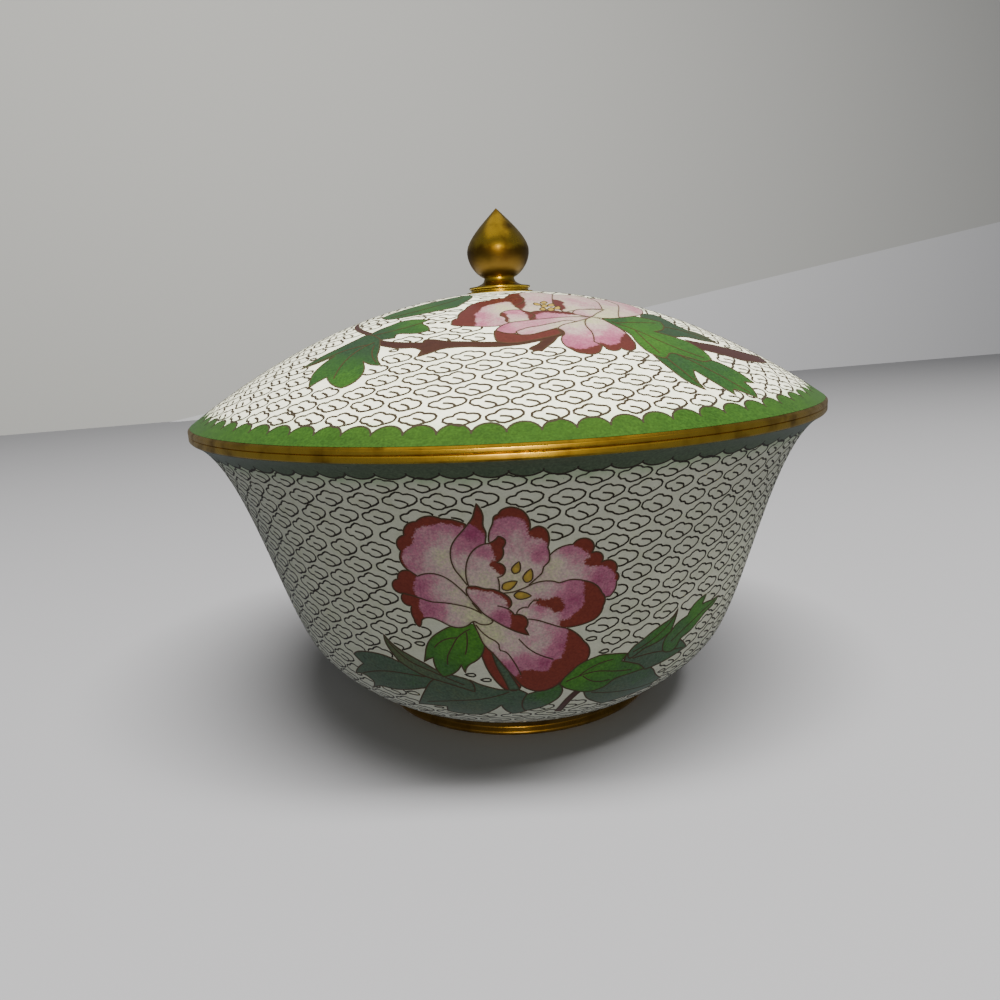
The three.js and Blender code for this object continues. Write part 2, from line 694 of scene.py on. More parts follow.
@dataclass(frozen=True)
class Cell:
    """One shape of a spray, with its colours and the wires inside it.

    Tones are points "x y tone". Deep and pale are outlines: enamel is deep red inside the deep ones, or
    outside the pale one.
    """

    kind: Kind
    edge: str
    tones: str = "0 0 1"
    deep: tuple[str, ...] = ()
    pale: str = ""
    wires: tuple[str, ...] = ()

    @cached_property
    def outline(self) -> np.ndarray:
        """The sampled outline."""
        return drawn(self.edge)

    def tone(self, points: np.ndarray) -> np.ndarray:
        """Blends the tone points.

        The tone is the mean of the tone points, weighted by one over their distance to the third power.

        Args:
            points: Plan points as rows.

        Returns:
            One tone for each point.
        """
        marks = np.array([[float(word) for word in part.split()] for part in self.tones.split(",")])
        away = np.linalg.norm(points[:, None] - marks[None, :, :2], axis=2)
        weight = 1 / (away + 0.6) ** 3
        return (weight * marks[:, 2]).sum(axis=1) / weight.sum(axis=1)

    def deepness(self, points: np.ndarray) -> np.ndarray:
        """Signed distance into the deep red, in millimetres.

        Args:
            points: Plan points as rows.

        Returns:
            One distance for each point, held between -3 and 3.
        """
        found = np.full(len(points), -3.0)
        for text in self.deep:
            found = np.maximum(found, depth_in(points, drawn(text)))
        if self.pale:
            found = np.maximum(found, -depth_in(points, drawn(self.pale)))
        return np.clip(found, -3, 3)


class Spray:
    """Flower, leaves and branches as a plan of cells, each drawn over the ones before it."""

    TOP = 0.02
    BOTTOM = -0.25
    SPACING = 0.9
    MARGIN = 0.32
    COVER = 0.22

    def __init__(self, cells: list[Cell], wire: Wire) -> None:
        """Tiles the plan once.

        Args:
            cells: Cells from the back to the front.
            wire: Wire between them.
        """
        self.cells = cells
        self.wire = wire
        self.tiles = self.tile()
        self.paths = self.wire_paths()
        box = np.vstack([cell.outline for cell in cells])
        self.low, self.high = box.min(axis=0) - 4, box.max(axis=0) + 4

    def tile(self) -> list[tuple[Cell, np.ndarray, np.ndarray, np.ndarray]]:
        """Cuts the plan into triangles along every outline and deals them to the topmost cell.

        Returns:
            A cell, its plan points, its triangles and its glaze values, for each visible cell.
        """
        outlines = [cell.outline for cell in self.cells]
        box = np.vstack(outlines)
        low, high = box.min(axis=0), box.max(axis=0)
        xs = np.arange(low[0], high[0], self.SPACING)
        ys = np.arange(low[1], high[1], self.SPACING * 0.87)
        grid = np.stack(np.meshgrid(xs, ys), axis=-1)
        grid[1::2, :, 0] += self.SPACING / 2
        grid = grid.reshape(-1, 2)
        free = np.zeros(len(grid), dtype=bool)
        for outline in outlines:
            free |= inside(grid, outline)
        grid = grid[free]
        for outline in outlines:
            grid = grid[distance(grid, outline) > self.MARGIN]
        starts = np.cumsum([0] + [len(outline) for outline in outlines])
        edges = []
        for start, outline in zip(starts, outlines):
            ring = np.arange(len(outline))
            edges.extend(np.stack([ring, (ring + 1) % len(outline)], axis=-1) + start)
        points = np.vstack([box, grid])
        made = delaunay_2d_cdt(
            [Vector(point) for point in points.tolist()], [tuple(edge) for edge in np.array(edges).tolist()],
            [], 0, 1e-5, False,
        )
        flat = np.array([tuple(point) for point in made[0]])
        triangles = np.array([tuple(face) for face in made[2]])
        a, b, c = flat[triangles[:, 0]], flat[triangles[:, 1]], flat[triangles[:, 2]]
        area = (b[:, 0] - a[:, 0]) * (c[:, 1] - a[:, 1]) - (b[:, 1] - a[:, 1]) * (c[:, 0] - a[:, 0])
        triangles[area < 0] = triangles[area < 0][:, ::-1]
        triangles = triangles[np.abs(area) > 1e-7]
        middle = flat[triangles].mean(axis=1)
        owner = np.full(len(triangles), -1)
        for index, outline in enumerate(outlines):
            owner[inside(middle, outline)] = index
        tiles = []
        for index, cell in enumerate(self.cells):
            own = triangles[owner == index]
            if len(own):
                used, compact = np.unique(own, return_inverse=True)
                held = flat[used]
                values = cell.tone(held), cell.deepness(held), distance(held, cell.outline)
                glaze = np.stack(values, axis=-1)
                tiles.append((cell, held, compact.reshape(-1, 3), glaze))
        return tiles

    def wire_paths(self) -> list[tuple[np.ndarray, bool]]:
        """Finds the stretches of outline and inner wire that no cell in front covers.

        Returns:
            Paths with a truth value that tells a closed loop.
        """
        paths = []
        for index, cell in enumerate(self.cells):
            front = [other.outline for other in self.cells[index + 1:]]
            lines = [(cell.outline, True)] + [(drawn(text, closed=False), False) for text in cell.wires]
            for line, loop in lines:
                hidden = np.zeros(len(line), dtype=bool)
                for outline in front:
                    near = np.flatnonzero(~hidden)
                    if len(near):
                        held = line[near]
                        hidden[near] = inside(held, outline) | (distance(held, outline) < self.COVER)
                paths.extend(self.visible(line, hidden, loop))
        return paths

    @staticmethod
    def visible(line: np.ndarray, hidden: np.ndarray, loop: bool) -> list[tuple[np.ndarray, bool]]:
        """Cuts a line into its visible stretches, one sample longer at each end.

        Args:
            line: Points as rows.
            hidden: True where a point is covered.
            loop: True when the line closes.

        Returns:
            Stretches of at least two points.
        """
        if not hidden.any():
            return [(line, loop)]
        if loop:
            first = int(np.argmax(hidden))
            line, hidden = np.roll(line, -first, axis=0), np.roll(hidden, -first)
            line, hidden = np.vstack([line, line[:1]]), np.r_[hidden, hidden[0]]
        shown = np.flatnonzero(~hidden)
        if not len(shown):
            return []
        parts = np.split(shown, np.flatnonzero(np.diff(shown) > 1) + 1)
        found = []
        for part in parts:
            low, high = max(part[0] - 1, 0), min(part[-1] + 1, len(line) - 1)
            if high - low >= 2:
                found.append((line[low:high + 1], False))
        return found

    def clear(self, points: np.ndarray, gap: float) -> np.ndarray:
        """Tells which plan points lie outside all cells by at least a gap.

        Args:
            points: Plan points as rows.
            gap: Least distance.

        Returns:
            One truth value for each point.
        """
        free = np.ones(len(points), dtype=bool)
        near = np.flatnonzero(((points > self.low) & (points < self.high)).all(axis=1))
        for cell in self.cells:
            if not len(near):
                break
            held = points[near]
            ok = ~inside(held, cell.outline)
            ok[ok] = distance(held[ok], cell.outline) > gap
            free[near[~ok]] = False
            near = near[ok]
        return free

    def slab(self, spot: Spot, flat: np.ndarray, triangles: np.ndarray, glaze: np.ndarray) -> Sheet:
        """Makes the closed inlay of one cell.

        The upper face lies a hair over the skin and the lower face inside the wall. Border edges are
        those whose reverse belongs to no triangle; each gets a side face.

        Args:
            spot: Where the plan lies.
            flat: Plan points of the cell.
            triangles: Its triangles.
            glaze: Tone, depth into the red and distance to the edge at each point.

        Returns:
            The closed mesh with the value "glaze".
        """
        count = len(flat)
        edges = np.concatenate([triangles[:, [0, 1]], triangles[:, [1, 2]], triangles[:, [2, 0]]])
        border = edges[~np.isin(edges[:, 0] * count + edges[:, 1], edges[:, 1] * count + edges[:, 0])]
        sides = np.stack([border[:, 1], border[:, 0], border[:, 0] + count, border[:, 1] + count], axis=-1)
        corners = np.vstack([spot.lay(flat, self.TOP), spot.lay(flat, self.BOTTOM)])
        faces = [triangles, triangles[:, ::-1] + count, sides]
        return Sheet(corners, faces, {"glaze": np.vstack([glaze] * 2)})

    def inlays(self, spots: list[Spot], kind: Kind) -> Sheet | None:
        """Makes all inlays of one kind.

        Args:
            spots: Where the spray is laid.
            kind: The kind wanted.

        Returns:
            One mesh, or None when the spray has no such cell.
        """
        made = [
            self.slab(spot, flat, triangles, glaze)
            for spot in spots
            for cell, flat, triangles, glaze in self.tiles
            if cell.kind is kind
        ]
        return Sheet.join(made) if made else None

    def wiring(self, spots: list[Spot]) -> Sheet:
        """Makes all wires of the spray.

        Args:
            spots: Where the spray is laid.

        Returns:
            One mesh.
        """
        return Sheet.join(
            [self.wire.run(spot, path[None], closed) for spot in spots for path, closed in self.paths]
        )


def petal(edge: str, tones: str = "0 0 1", **more) -> Cell:
    """Petal cell.

    Args:
        edge: Its outline.
        tones: Its tone points, from 0 for cream to 3 for magenta.
        **more: Other fields of the cell.

    Returns:
        The cell.
    """
    return Cell(Kind.PETAL, edge, tones, **more)


def leaf(edge: str, tones: str = "0 0 1", *wires: str) -> Cell:
    """Leaf cell.

    Args:
        edge: Its outline.
        tones: Its tone points, from 0 for bright green over 2 for blue-green to 3 for olive.
        *wires: Its veins.

    Returns:
        The cell.
    """
    return Cell(Kind.LEAF, edge, tones, wires=wires)


def branch(edge: str) -> Cell:
    """Branch cell.

    Args:
        edge: Its outline.

    Returns:
        The cell.
    """
    return Cell(Kind.BRANCH, edge)


def stamen(x: float, y: float, tip_x: float, tip_y: float) -> Cell:
    """Stamen: a small drop.

    Args:
        x: Middle of the drop.
        y: Middle of the drop.
        tip_x: Its pointed end.
        tip_y: Its pointed end.

    Returns:
        The cell.
    """
    centre, tip = np.array([x, y]), np.array([tip_x, tip_y])
    along = (tip - centre) / np.linalg.norm(tip - centre)
    across = np.array([-along[1], along[0]])
    shape = [
        (1.0, 0.0, " c"), (0.25, 0.52, ""), (-0.55, 0.62, ""),
        (-1.0, 0.0, ""), (-0.55, -0.62, ""), (0.25, -0.52, ""),
    ]
    half = np.linalg.norm(tip - centre)
    points = [(centre + along * a * half + across * b * half * 0.85, mark) for a, b, mark in shape]
    text = ", ".join(f"{point[0]:.3f} {point[1]:.3f}{mark}" for point, mark in points)
    return Cell(Kind.STAMEN, text, "0 0 1")


def bowl_cells() -> list[Cell]:
    """Cells of the bowl's spray, from the back to the front.

    Returns:
        The cells.
    """
    return [
        leaf(
            "-37.4 -18 c, -35.8 -19.6, -35 -20.2 c, -36.3 -21.3, -39 -25 c, -36.5 -24, -33.3 -25.6 c,"
            "-33.8 -27.6, -35.2 -29.6 c, -33.3 -28, -31.8 -26.9, -28 -26.6, -24 -25.6, -20 -24.1,"
            "-17 -23 c,"
            "-15 -20.5 c, -20 -18, -24 -17.4, -28 -16.1, -33 -16.1, -36 -16.9",
            "-30 -20 2.1, -20 -20 1.9, -36 -26 2.3",
            "-16 -20.8, -22 -20.4, -28 -20.6, -36 -23.6",
        ),
        leaf(
            "-19.5 -24 c, -20.8 -27, -22.4 -31.8 c, -19 -31, -15.6 -30.8 c, -15.7 -33.5 c,"
            "-12 -34.5, -8 -34,"
            "-5.8 -31.6, -3.8 -28.8 c, -3.2 -31, -1.6 -33.6 c, 1.5 -32, 3 -28, 1.8 -25, -0.5 -23.2 c,"
            "-3 -23.3, -7 -22, -12 -19.6, -16 -20",
            "-14 -24 2.2, -4 -26 2.0, -10 -32 2.4",
            "-2 -24, -8 -26.5, -13 -27.5, -20 -29.5",
        ),
        leaf(
            "13.3 -26.2 c, 14 -29, 16.5 -32.5, 18 -34.5 c, 23 -34, 28 -33.5, 31 -33 c, 31.5 -31,"
            "33.6 -30 c,"
            "31.2 -27, 29.8 -24.2, 28.3 -22.8 c, 24 -22.5, 19 -24.5",
            "20 -30 2.3, 28 -26 1.8",
            "15 -27, 20 -29, 26 -30.5, 31 -31",
        ),
        leaf(
            "1.5 -25 c, 0.5 -28, 1 -32 c, 4 -31, 6.5 -29, 8.2 -26.8, 8.8 -24.6, 8.2 -22.7 c, 5.5 -23.6",
            "5 -26 1.2, 2 -30 2",
        ),
        leaf(
            "-27.5 -10.2 c, -27.3 -12.6, -26.2 -14.9, -25 -16.8 c, -20 -20, -14 -22, -9 -24 c, -9.5 -21,"
            "-12.2 -19.6, -15.5 -18.8, -18.5 -16.9, -21.5 -15.2, -24.2 -13.6, -26.2 -11.9",
            "-25 -14 2.9, -20 -18 2.6, -12 -21 2.2",
            "-26.6 -12, -23 -16, -17 -19, -11 -22",
        ),
        leaf(
            "22.8 -17.4 c, 25 -16.5, 29 -15, 33.6 -14.4 c, 36 -17, 38.5 -19.5, 39.8 -21.3 c, 36 -22.2,"
            "33 -22.9, 27.5 -23.5 c, 25 -21, 22 -19.5",
            "28 -19 2.1, 36 -20.5 1.7",
            "24 -19, 29 -19, 34 -20, 38.5 -21",
        ),
        leaf(
            "34.9 -8.8 c, 33.6 -10.6, 31 -11.8, 28.5 -13, 26 -14.6, 24 -15.8, 22.8 -17.4 c,"
            "23 -18.5, 27 -17,"
            "31 -16, 33.6 -14.4 c, 34.1 -13, 34.6 -11",
            "30 -14 0.9, 34 -10 1.2, 25 -17 1.8",
            "24 -17.2, 29 -15, 32.5 -12.5, 34.6 -9.8",
        ),
        leaf(
            "33.8 -14.4 c, 31.8 -17, 32 -19.5, 35 -20.5, 36.8 -18 c, 37.5 -17.6, 40 -16.6,"
            "42.5 -14.8, 45 -13,"
            "47.5 -12.2, 49.5 -10.2 c, 46.5 -10.4, 44.5 -10.2, 42.9 -10.3 c, 43.4 -9.2, 43.9 -7.9 c,"
            "41.6 -8.4,"
            "39.6 -9.6, 38.2 -11.8 c, 37 -12.1, 35 -13",
            "36 -16 1.3, 42 -12.5 0.5, 47 -11 0.6",
            "34 -17.5, 38 -15, 43 -12.6, 48 -10.9",
        ),
        branch("12.6 -26 c, 10.6 -29, 9.4 -32, 8.6 -34.5 c, 7.3 -34.1 c, 8.2 -31.4, 9.4 -28.4,"
               "11.4 -25.4 c"),
        petal(
            "-6.6 -10.6 c, -7 -13, -6.6 -15.5, -5.7 -18.3, -4.6 -20.6, -3.2 -22.8 c, -1.8 -23.6, 0 -23.5 c,"
            "0.5 -20, -2 -16, -4.5 -12.6",
            "0 0 1",
            pale="40 40 c, 41 40 c, 41 41 c",
        ),
        leaf(
            "-5 -12.8 c, -4.2 -16.5, -2.8 -20.5, -2 -23.4 c, 0.2 -23.5 c, -1 -20.3, -3 -16",
            "-3 -18 2.1",
        ),
        leaf(
            "-8 -6 c, -13 -6.9, -15 -8.2, -16.8 -9.8, -18 -12, -18.6 -14.5, -19 -16.3 c, -17.8 -15.3,"
            "-16.9 -14.9 c, -16.9 -16, -16.5 -18, -15.2 -20 c, -13.1 -18.9, -12.3 -18.2, -11.5 -17,"
            "-11.2 -16.3 c, -10.9 -17.5, -10.5 -18.6 c, -10.3 -17.4, -9.5 -16.2, -8.3 -15.3, -7.1 -14,"
            "-6.5 -12.5, -6.2 -10.5, -6.4 -8",
            "-10 -9 0.1, -15 -12 0.4, -10 -13 0.2, -15 -18 1.0, -17.5 -13 0.8",
            "-8.8 -7.2, -11.5 -9.5, -12.8 -12, -13.8 -14.2, -14 -16.5",
            "-9.6 -8, -9.6 -10.6, -10.2 -13.6",
            "-11.4 -9.4, -14 -10, -16.4 -12.2",
        ),
        petal(
            "-8 16.4 c0.15, -12.2 17.6 c0.38, -16.9 17 c0.45, -19.6 13.9 c0.6, -20.7 10.3 c0.4, -19.6 6 c,"
            "-18 3 c, -8 -1 c",
            "-13 9 0.2, -12 13 1, -16 14 1.8, -10 15.5 2, -18 10 2, -18 7.5 1.8, -15 6 0.9, -10.5 5 0.7,"
            "-11 11 0.8, -13 16 2.1",
            pale="-6 14, -8.3 15.6, -10 16.2, -12 16.5, -14.5 16.2, -16.5 15.5, -17.6 14.5, -18 13.2,"
            "-18.1 12.2, -19.2 11.4, -20.2 10.6, -20.5 9, -20.4 7.5, -19.8 6.3, -20 3 c, -9 -2 c, -4 4 c",
        ),
        petal(
            "-3.4 -0.8 c, 6 0 c, 6.4 6.4 c, 6.5 8, 6.6 9, 6.3 10.6 c, 6.6 12.6, 5.8 14.8,"
            "4.8 15.3, 4 15.1, 3.2 14.5 c, 3.1 17, 2 18.9, 0 19.75, -1.6 19.2, -2.2 18.3 c, -2.9 17.9,"
            "-3.1 17.3 c, -3.3 16.2, -3.8 15, -4.1 13.5, -4.1 12.4, -3.9 7 c",
            "-1 16.5 2.3, 1.5 16 2, -1.5 14 1.6, 0 12 1.2, 1 9.5 1, 4.5 8.5 2.1, 5.3 10 2.2, 4 12 1.5,"
            "2 7 0.5, 0 4.5 0.1, -2 8 0.8, 3.5 5.5 0.8",
            pale="-3.4 16, -2.9 16.9, -2 17.3, -1 17.6, 0.5 17.7, 1.8 17.2, 2.5 16.3, 2.9 15,"
                 "3 13.6, 4.6 12.6,"
            "5.6 12.3, 6.2 11.4, 6.8 10.6, 9 9 c, 6 0 c, -3 -2 c, -7 8 c, -4.7 13",
        ),
        petal(
            "2 2 c, 10 0, 17 -2 c, 18.2 -1.9 c0.25, 19.5 1.3 c0.5, 19.3 3.5 c0.76, 16.4 6.2 c0.77,"
            "14.4 8.5 c1.1, 10.9 10.8 c0.25, 6.6 8.8 c, 6.4 7.4, 5.5 6.4, 5.2 5.2, 4 3.9",
            "8 7 0.3, 10.5 9.3 2.2, 12 7.5 1.7, 16 3 2.7, 17.5 1 2.3, 14 5 1.6, 7 5.2 0.4, 12 4.2 0.8,"
            "17.5 4 2.4",
            deep=(
                "10.6 10.8 c, 12 10, 13.2 9.2, 13.9 8.4, 14.1 7.8 c, 13.2 7.2, 13 6.3, 13.6 5.8, 14.4 5.6,"
                "15.6 5.3, 16.4 5.4, 17.4 5, 18.3 4.2, 18.9 3.2, 19.2 1.4 c, 21 2 c, 20.5 6 c,"
                "17 9 c, 15 13 c,"
                "10 13 c",
            ),
        ),
        petal(
            "-1.6 -5 c, 2 -6.1, 4 -6.5, 6.5 -7.4, 8.8 -7.9 c0.12, 14.6 -7.1 c0.3, 16.9 -3.9 c0.35,"
            "16.6 -0.8 c0.25, 13.2 2.45 c, 12 2.85, 10.4 3.05, 9.2 2.8, 8.3 2.6, 7.4 3, 6 3.25, 4 3, 2 2.1,"
            "0 1.3, -2.2 1.05 c, -3.2 -2 c",
            "2 0.5 0.2, 5 1.5 0.7, 8 1.5 1.4, 11 1.5 2.3, 11 -1.5 2.8, 10.5 -3.5 2.4, 9.5 0 2,"
            "5.5 -0.3 1.1,"
            "4.4 -3 2.2, 3.4 -4 1.1, 2 -4 0.6, 6 -5.4 1",
            deep=(
                "12.6 3.4 c, 13 1, 13.1 -0.8, 13.1 -2.4, 12.6 -3.6, 11.6 -4.4, 11 -5, 10 -5.9, 9 -6.1,"
                "8.3 -6.2 c, 8 -9 c, 18 -9 c, 19 0 c, 14 5 c",
                "2.9 -1.1, 4.4 -0.7, 5.8 -1.1, 7.4 -0.6, 8.8 -1.3, 9.1 -2.9, 8.6 -4.1, 7.4 -4.3,"
                "6.6 -3.3, 5.4 -2.5, 4 -1.9",
            ),
            wires=("0.2 -3.8, 0.5 -3.1, 1.3 -2.5, 2.4 -2.45 c, 2.9 -1.6, 3.7 -0.9, 4.4 -1.1",),
        ),
        petal(
            "-7.4 0.8 c, -6 6, -5 10, -4.7 12.5, -4.5 14.5, -4.9 15.9, -4.8 18.2, -5.1 19.4, -5.8 20.8 c,"
            "-6.3 19, -6.7 17.7, -7.5 16.5, -8.6 15, -9.9 13.4, -10.9 11.6, -11.25 9.5, -10.8 6.8,"
            "-9.6 4.7",
            "-7 14 3, -6.2 16 2.7, -9 12 1.9, -9 8 1, -9 4.7 0.4, -10 10.5 1.5",
            deep=("-9.5 16.8 c, -7 16.3, -5.8 15.6, -5 13.8 c, -4 13.6 c, -4 22 c, -8 22 c",),
        ),
        petal(
            "-7.6 0.8 c, -3 0.6 c, -2.7 3, -2.9 4.6 c0.9, -2.9 7.9 c0.35, -1.7 11 c, -1.2 12.7,"
            "-2.4 13.6 c,"
            "-3.3 12.6, -4.3 12.1 c, -5.1 11.95, -6.2 11.4, -7.3 10.3, -8.1 8.8, -8.6 6.8, -8.7 4.8",
            "-5.5 10 2, -6.5 8 1.1, -6 5 0.4, -4.2 6.5 1, -5.5 3.2 0.6, -7.5 7 1.1",
            deep=("-4.8 12.6 c, -3.6 11, -3.2 9.5, -3.2 8.4 c, -4.3 7.4, -3.5 6.5, -2.9 5.2 c,"
                  "1 5 c, 0 15 c",),
        ),
        petal(
            "-8.1 -5.6 c, -7.2 -8.5, -6.4 -10.9, -4.5 -13.6, -2.5 -17, -0.9 -19.6 c, -0.3 -21, 1.2 -22.9,"
            "4 -24.3, 6.8 -23.5, 9 -21.5, 11 -19.2, 13 -17.7 c0.45, 13.1 -11.9 c0.15, 9.8 -8.2 c, 8 -7.5,"
            "6 -6.5, 4 -5.6, 1.9 -5.1 c, 0 -4, -5 -4.5",
            "-4 -9 0, -6 -8 0.2, 0 -8 0.8, 3 -8 1, 8.5 -12 2.7, 8 -9.5 2, 6 -11 1.1, 5 -16.5 2.8,"
            "2 -15.5 2.2, -1.5 -17 2.5, -3 -11.5 1, -0.5 -12 0.8, 3.5 -12.3 0.9, 7.3 -14.8 2.2",
            pale="-9 -4 c, -7.6 -8, -6.7 -10.5, -4.6 -13.5, -2.8 -16.6, -1.2 -19.4, 0.3 -20 c, 0.4 -18,"
            "1.5 -17.8, 3 -18, 4.5 -18.6, 5.7 -18.7, 6.2 -17.9, 6.7 -16.6, 7.2 -15.9, 8 -15.8, 8.8 -14.5,"
            "9.4 -12.5, 9.8 -10.5, 9.9 -8.9, 9.4 -7.5 c, 0 -2 c",
            wires=(
                "-7.6 -6.2, -6.5 -8, -5.2 -9.4, -4 -10.3, -3.5 -11, -3.4 -12.2, -3.2 -12.6 c, -2.2 -13,"
                "-1.4 -14.2, -0.7 -15.7, -0.1 -17.2, 0.5 -19.2",
                "0.4 -9.8, 1.3 -11.2, 2.4 -12.6, 3.8 -13.8, 5.4 -14.8, 7 -15.6",
            ),
        ),
        petal(
            "-6.3 -3.5 c, -12 0, -18 1, -21.4 0.7 c0.75, -20.1 -2.3 c0.2, -19.9 -5.4 c, -19.5 -6.7,"
            "-18.9 -7.2, -18.5 -6.6, -18.2 -5.4, -17.3 -4.9, -16 -4.9, -14.5 -5.5, -12.6 -6.6, -11 -6.95,"
            "-9.6 -6.6, -8.5 -5.7 c, -7.9 -5.4, -7 -5.95, -6 -6.2, -4.8 -5.95, -4.3 -5.4 c, -5.2 -4.4",
            "-16 -3 2.6, -14 -4 1.8, -12 -4.5 0.9, -8 -4.5 0.1, -11 -2.5 0.5, -17 -1.5 2.3, -6 -5 0.1",
            deep=("-17.6 2 c, -18.2 -1, -18.3 -3, -17.9 -4.4, -17.4 -5.4 c, -19 -9 c, -23 -6 c, -24 3 c",),
        ),
        petal(
            "-6.3 -3.6 c, -8 -1, -9.3 1.3, -10.2 2.4, -11.5 3.8, -13 4.9, -14.8 5.5, -16.5 5.4, -18 4.8 c,"
            "-19.4 5.9 c0.55, -22.2 3.9 c1.0, -21.6 0.6 c, -19.6 0.2, -18 -0.3, -16 -0.95, -13 -1.15,"
            "-10.5 -1.6, -8.3 -2.3",
            "-17.3 2.5 2.4, -16 4 2, -14 2 1.1, -11 1.5 0.7, -8 -1.5 0.3, -17 0 2, -13 3.8 1",
            deep=("-17.4 6.4 c, -18.6 4.3, -19.1 2.6, -18.9 1, -18 -1 c, -25 -1 c, -25 8 c",),
        ),
        petal(
            "-8.9 1.4 c, -8.2 -0.3, -7 -2, -6.2 -3.3, -4.5 -4.9, -2.6 -6.4, -0.5 -7.8, 2.4 -9.1 c,"
            "1.7 -7.4 c0.75, -0.2 -4 c, -0.7 -3.2, -1.3 -2.6 c, -0.6 -1.3, -0.9 -0.2, -2.2 1.1, -3.9 2,"
            "-5.4 2.15, -7.2 2.75, -8.6 2.6",
            "-6 0.5 1.5, -4 1.3 1.4, -2.6 -4.2 2.7, -4.5 -2 1.1, -1.5 0 1.3, -7.8 1.4 1.2, -2.4 -1 1",
            deep=(
                "-9.4 1.3 c, -8 1.9, -7.1 2, -5.4 1.4, -4 1.25, -2.7 0.6, -1.9 -0.2, -1.5 -1, -1.5 -1.9 c,"
                "-1.2 -2.8 c, 0.5 -2 c, 0 2 c, -4 4 c, -10 4 c",
                "-1.4 -3 c, -0.9 -4.4, -0.8 -5.4, -1.6 -7.2 c, 2 -10.5 c, 4 -9 c, 2 -4 c",
            ),
            wires=("-1.3 -2.6, -2.6 -2, -3.3 -1.8",),
        ),
        leaf(
            "8.2 -22.8 c, 9 -23.8, 11 -25.2, 14 -26.5, 17.5 -26, 20 -24, 24 -23.4, 27.3 -23.2 c, 26 -21.5,"
            "23.5 -20, 21.5 -19 c, 22 -18.2, 22.8 -17.2 c, 19.5 -16.5, 17 -16.2, 14.5 -16.8, 12 -18,"
            "10.5 -19.5, 9 -21.2",
            "12 -21 0.2, 18 -18 0.5, 22 -22 1.0, 15 -25 0.8",
            "9.5 -22.2, 11 -21.5, 16 -20.5, 20 -21.5, 24 -22.3",
            "12 -21.2, 15 -19, 19.5 -18",
            "13 -21.2, 15.5 -23.4, 19 -23.8",
        ),
        stamen(0.6, 6.6, 1.1, 7.9),
        stamen(2.7, 4.7, 3.2, 6.2),
        stamen(-0.8, 2.8, 0.6, 3.6),
        stamen(1.5, 0.3, 3.1, 0.1),
    ]


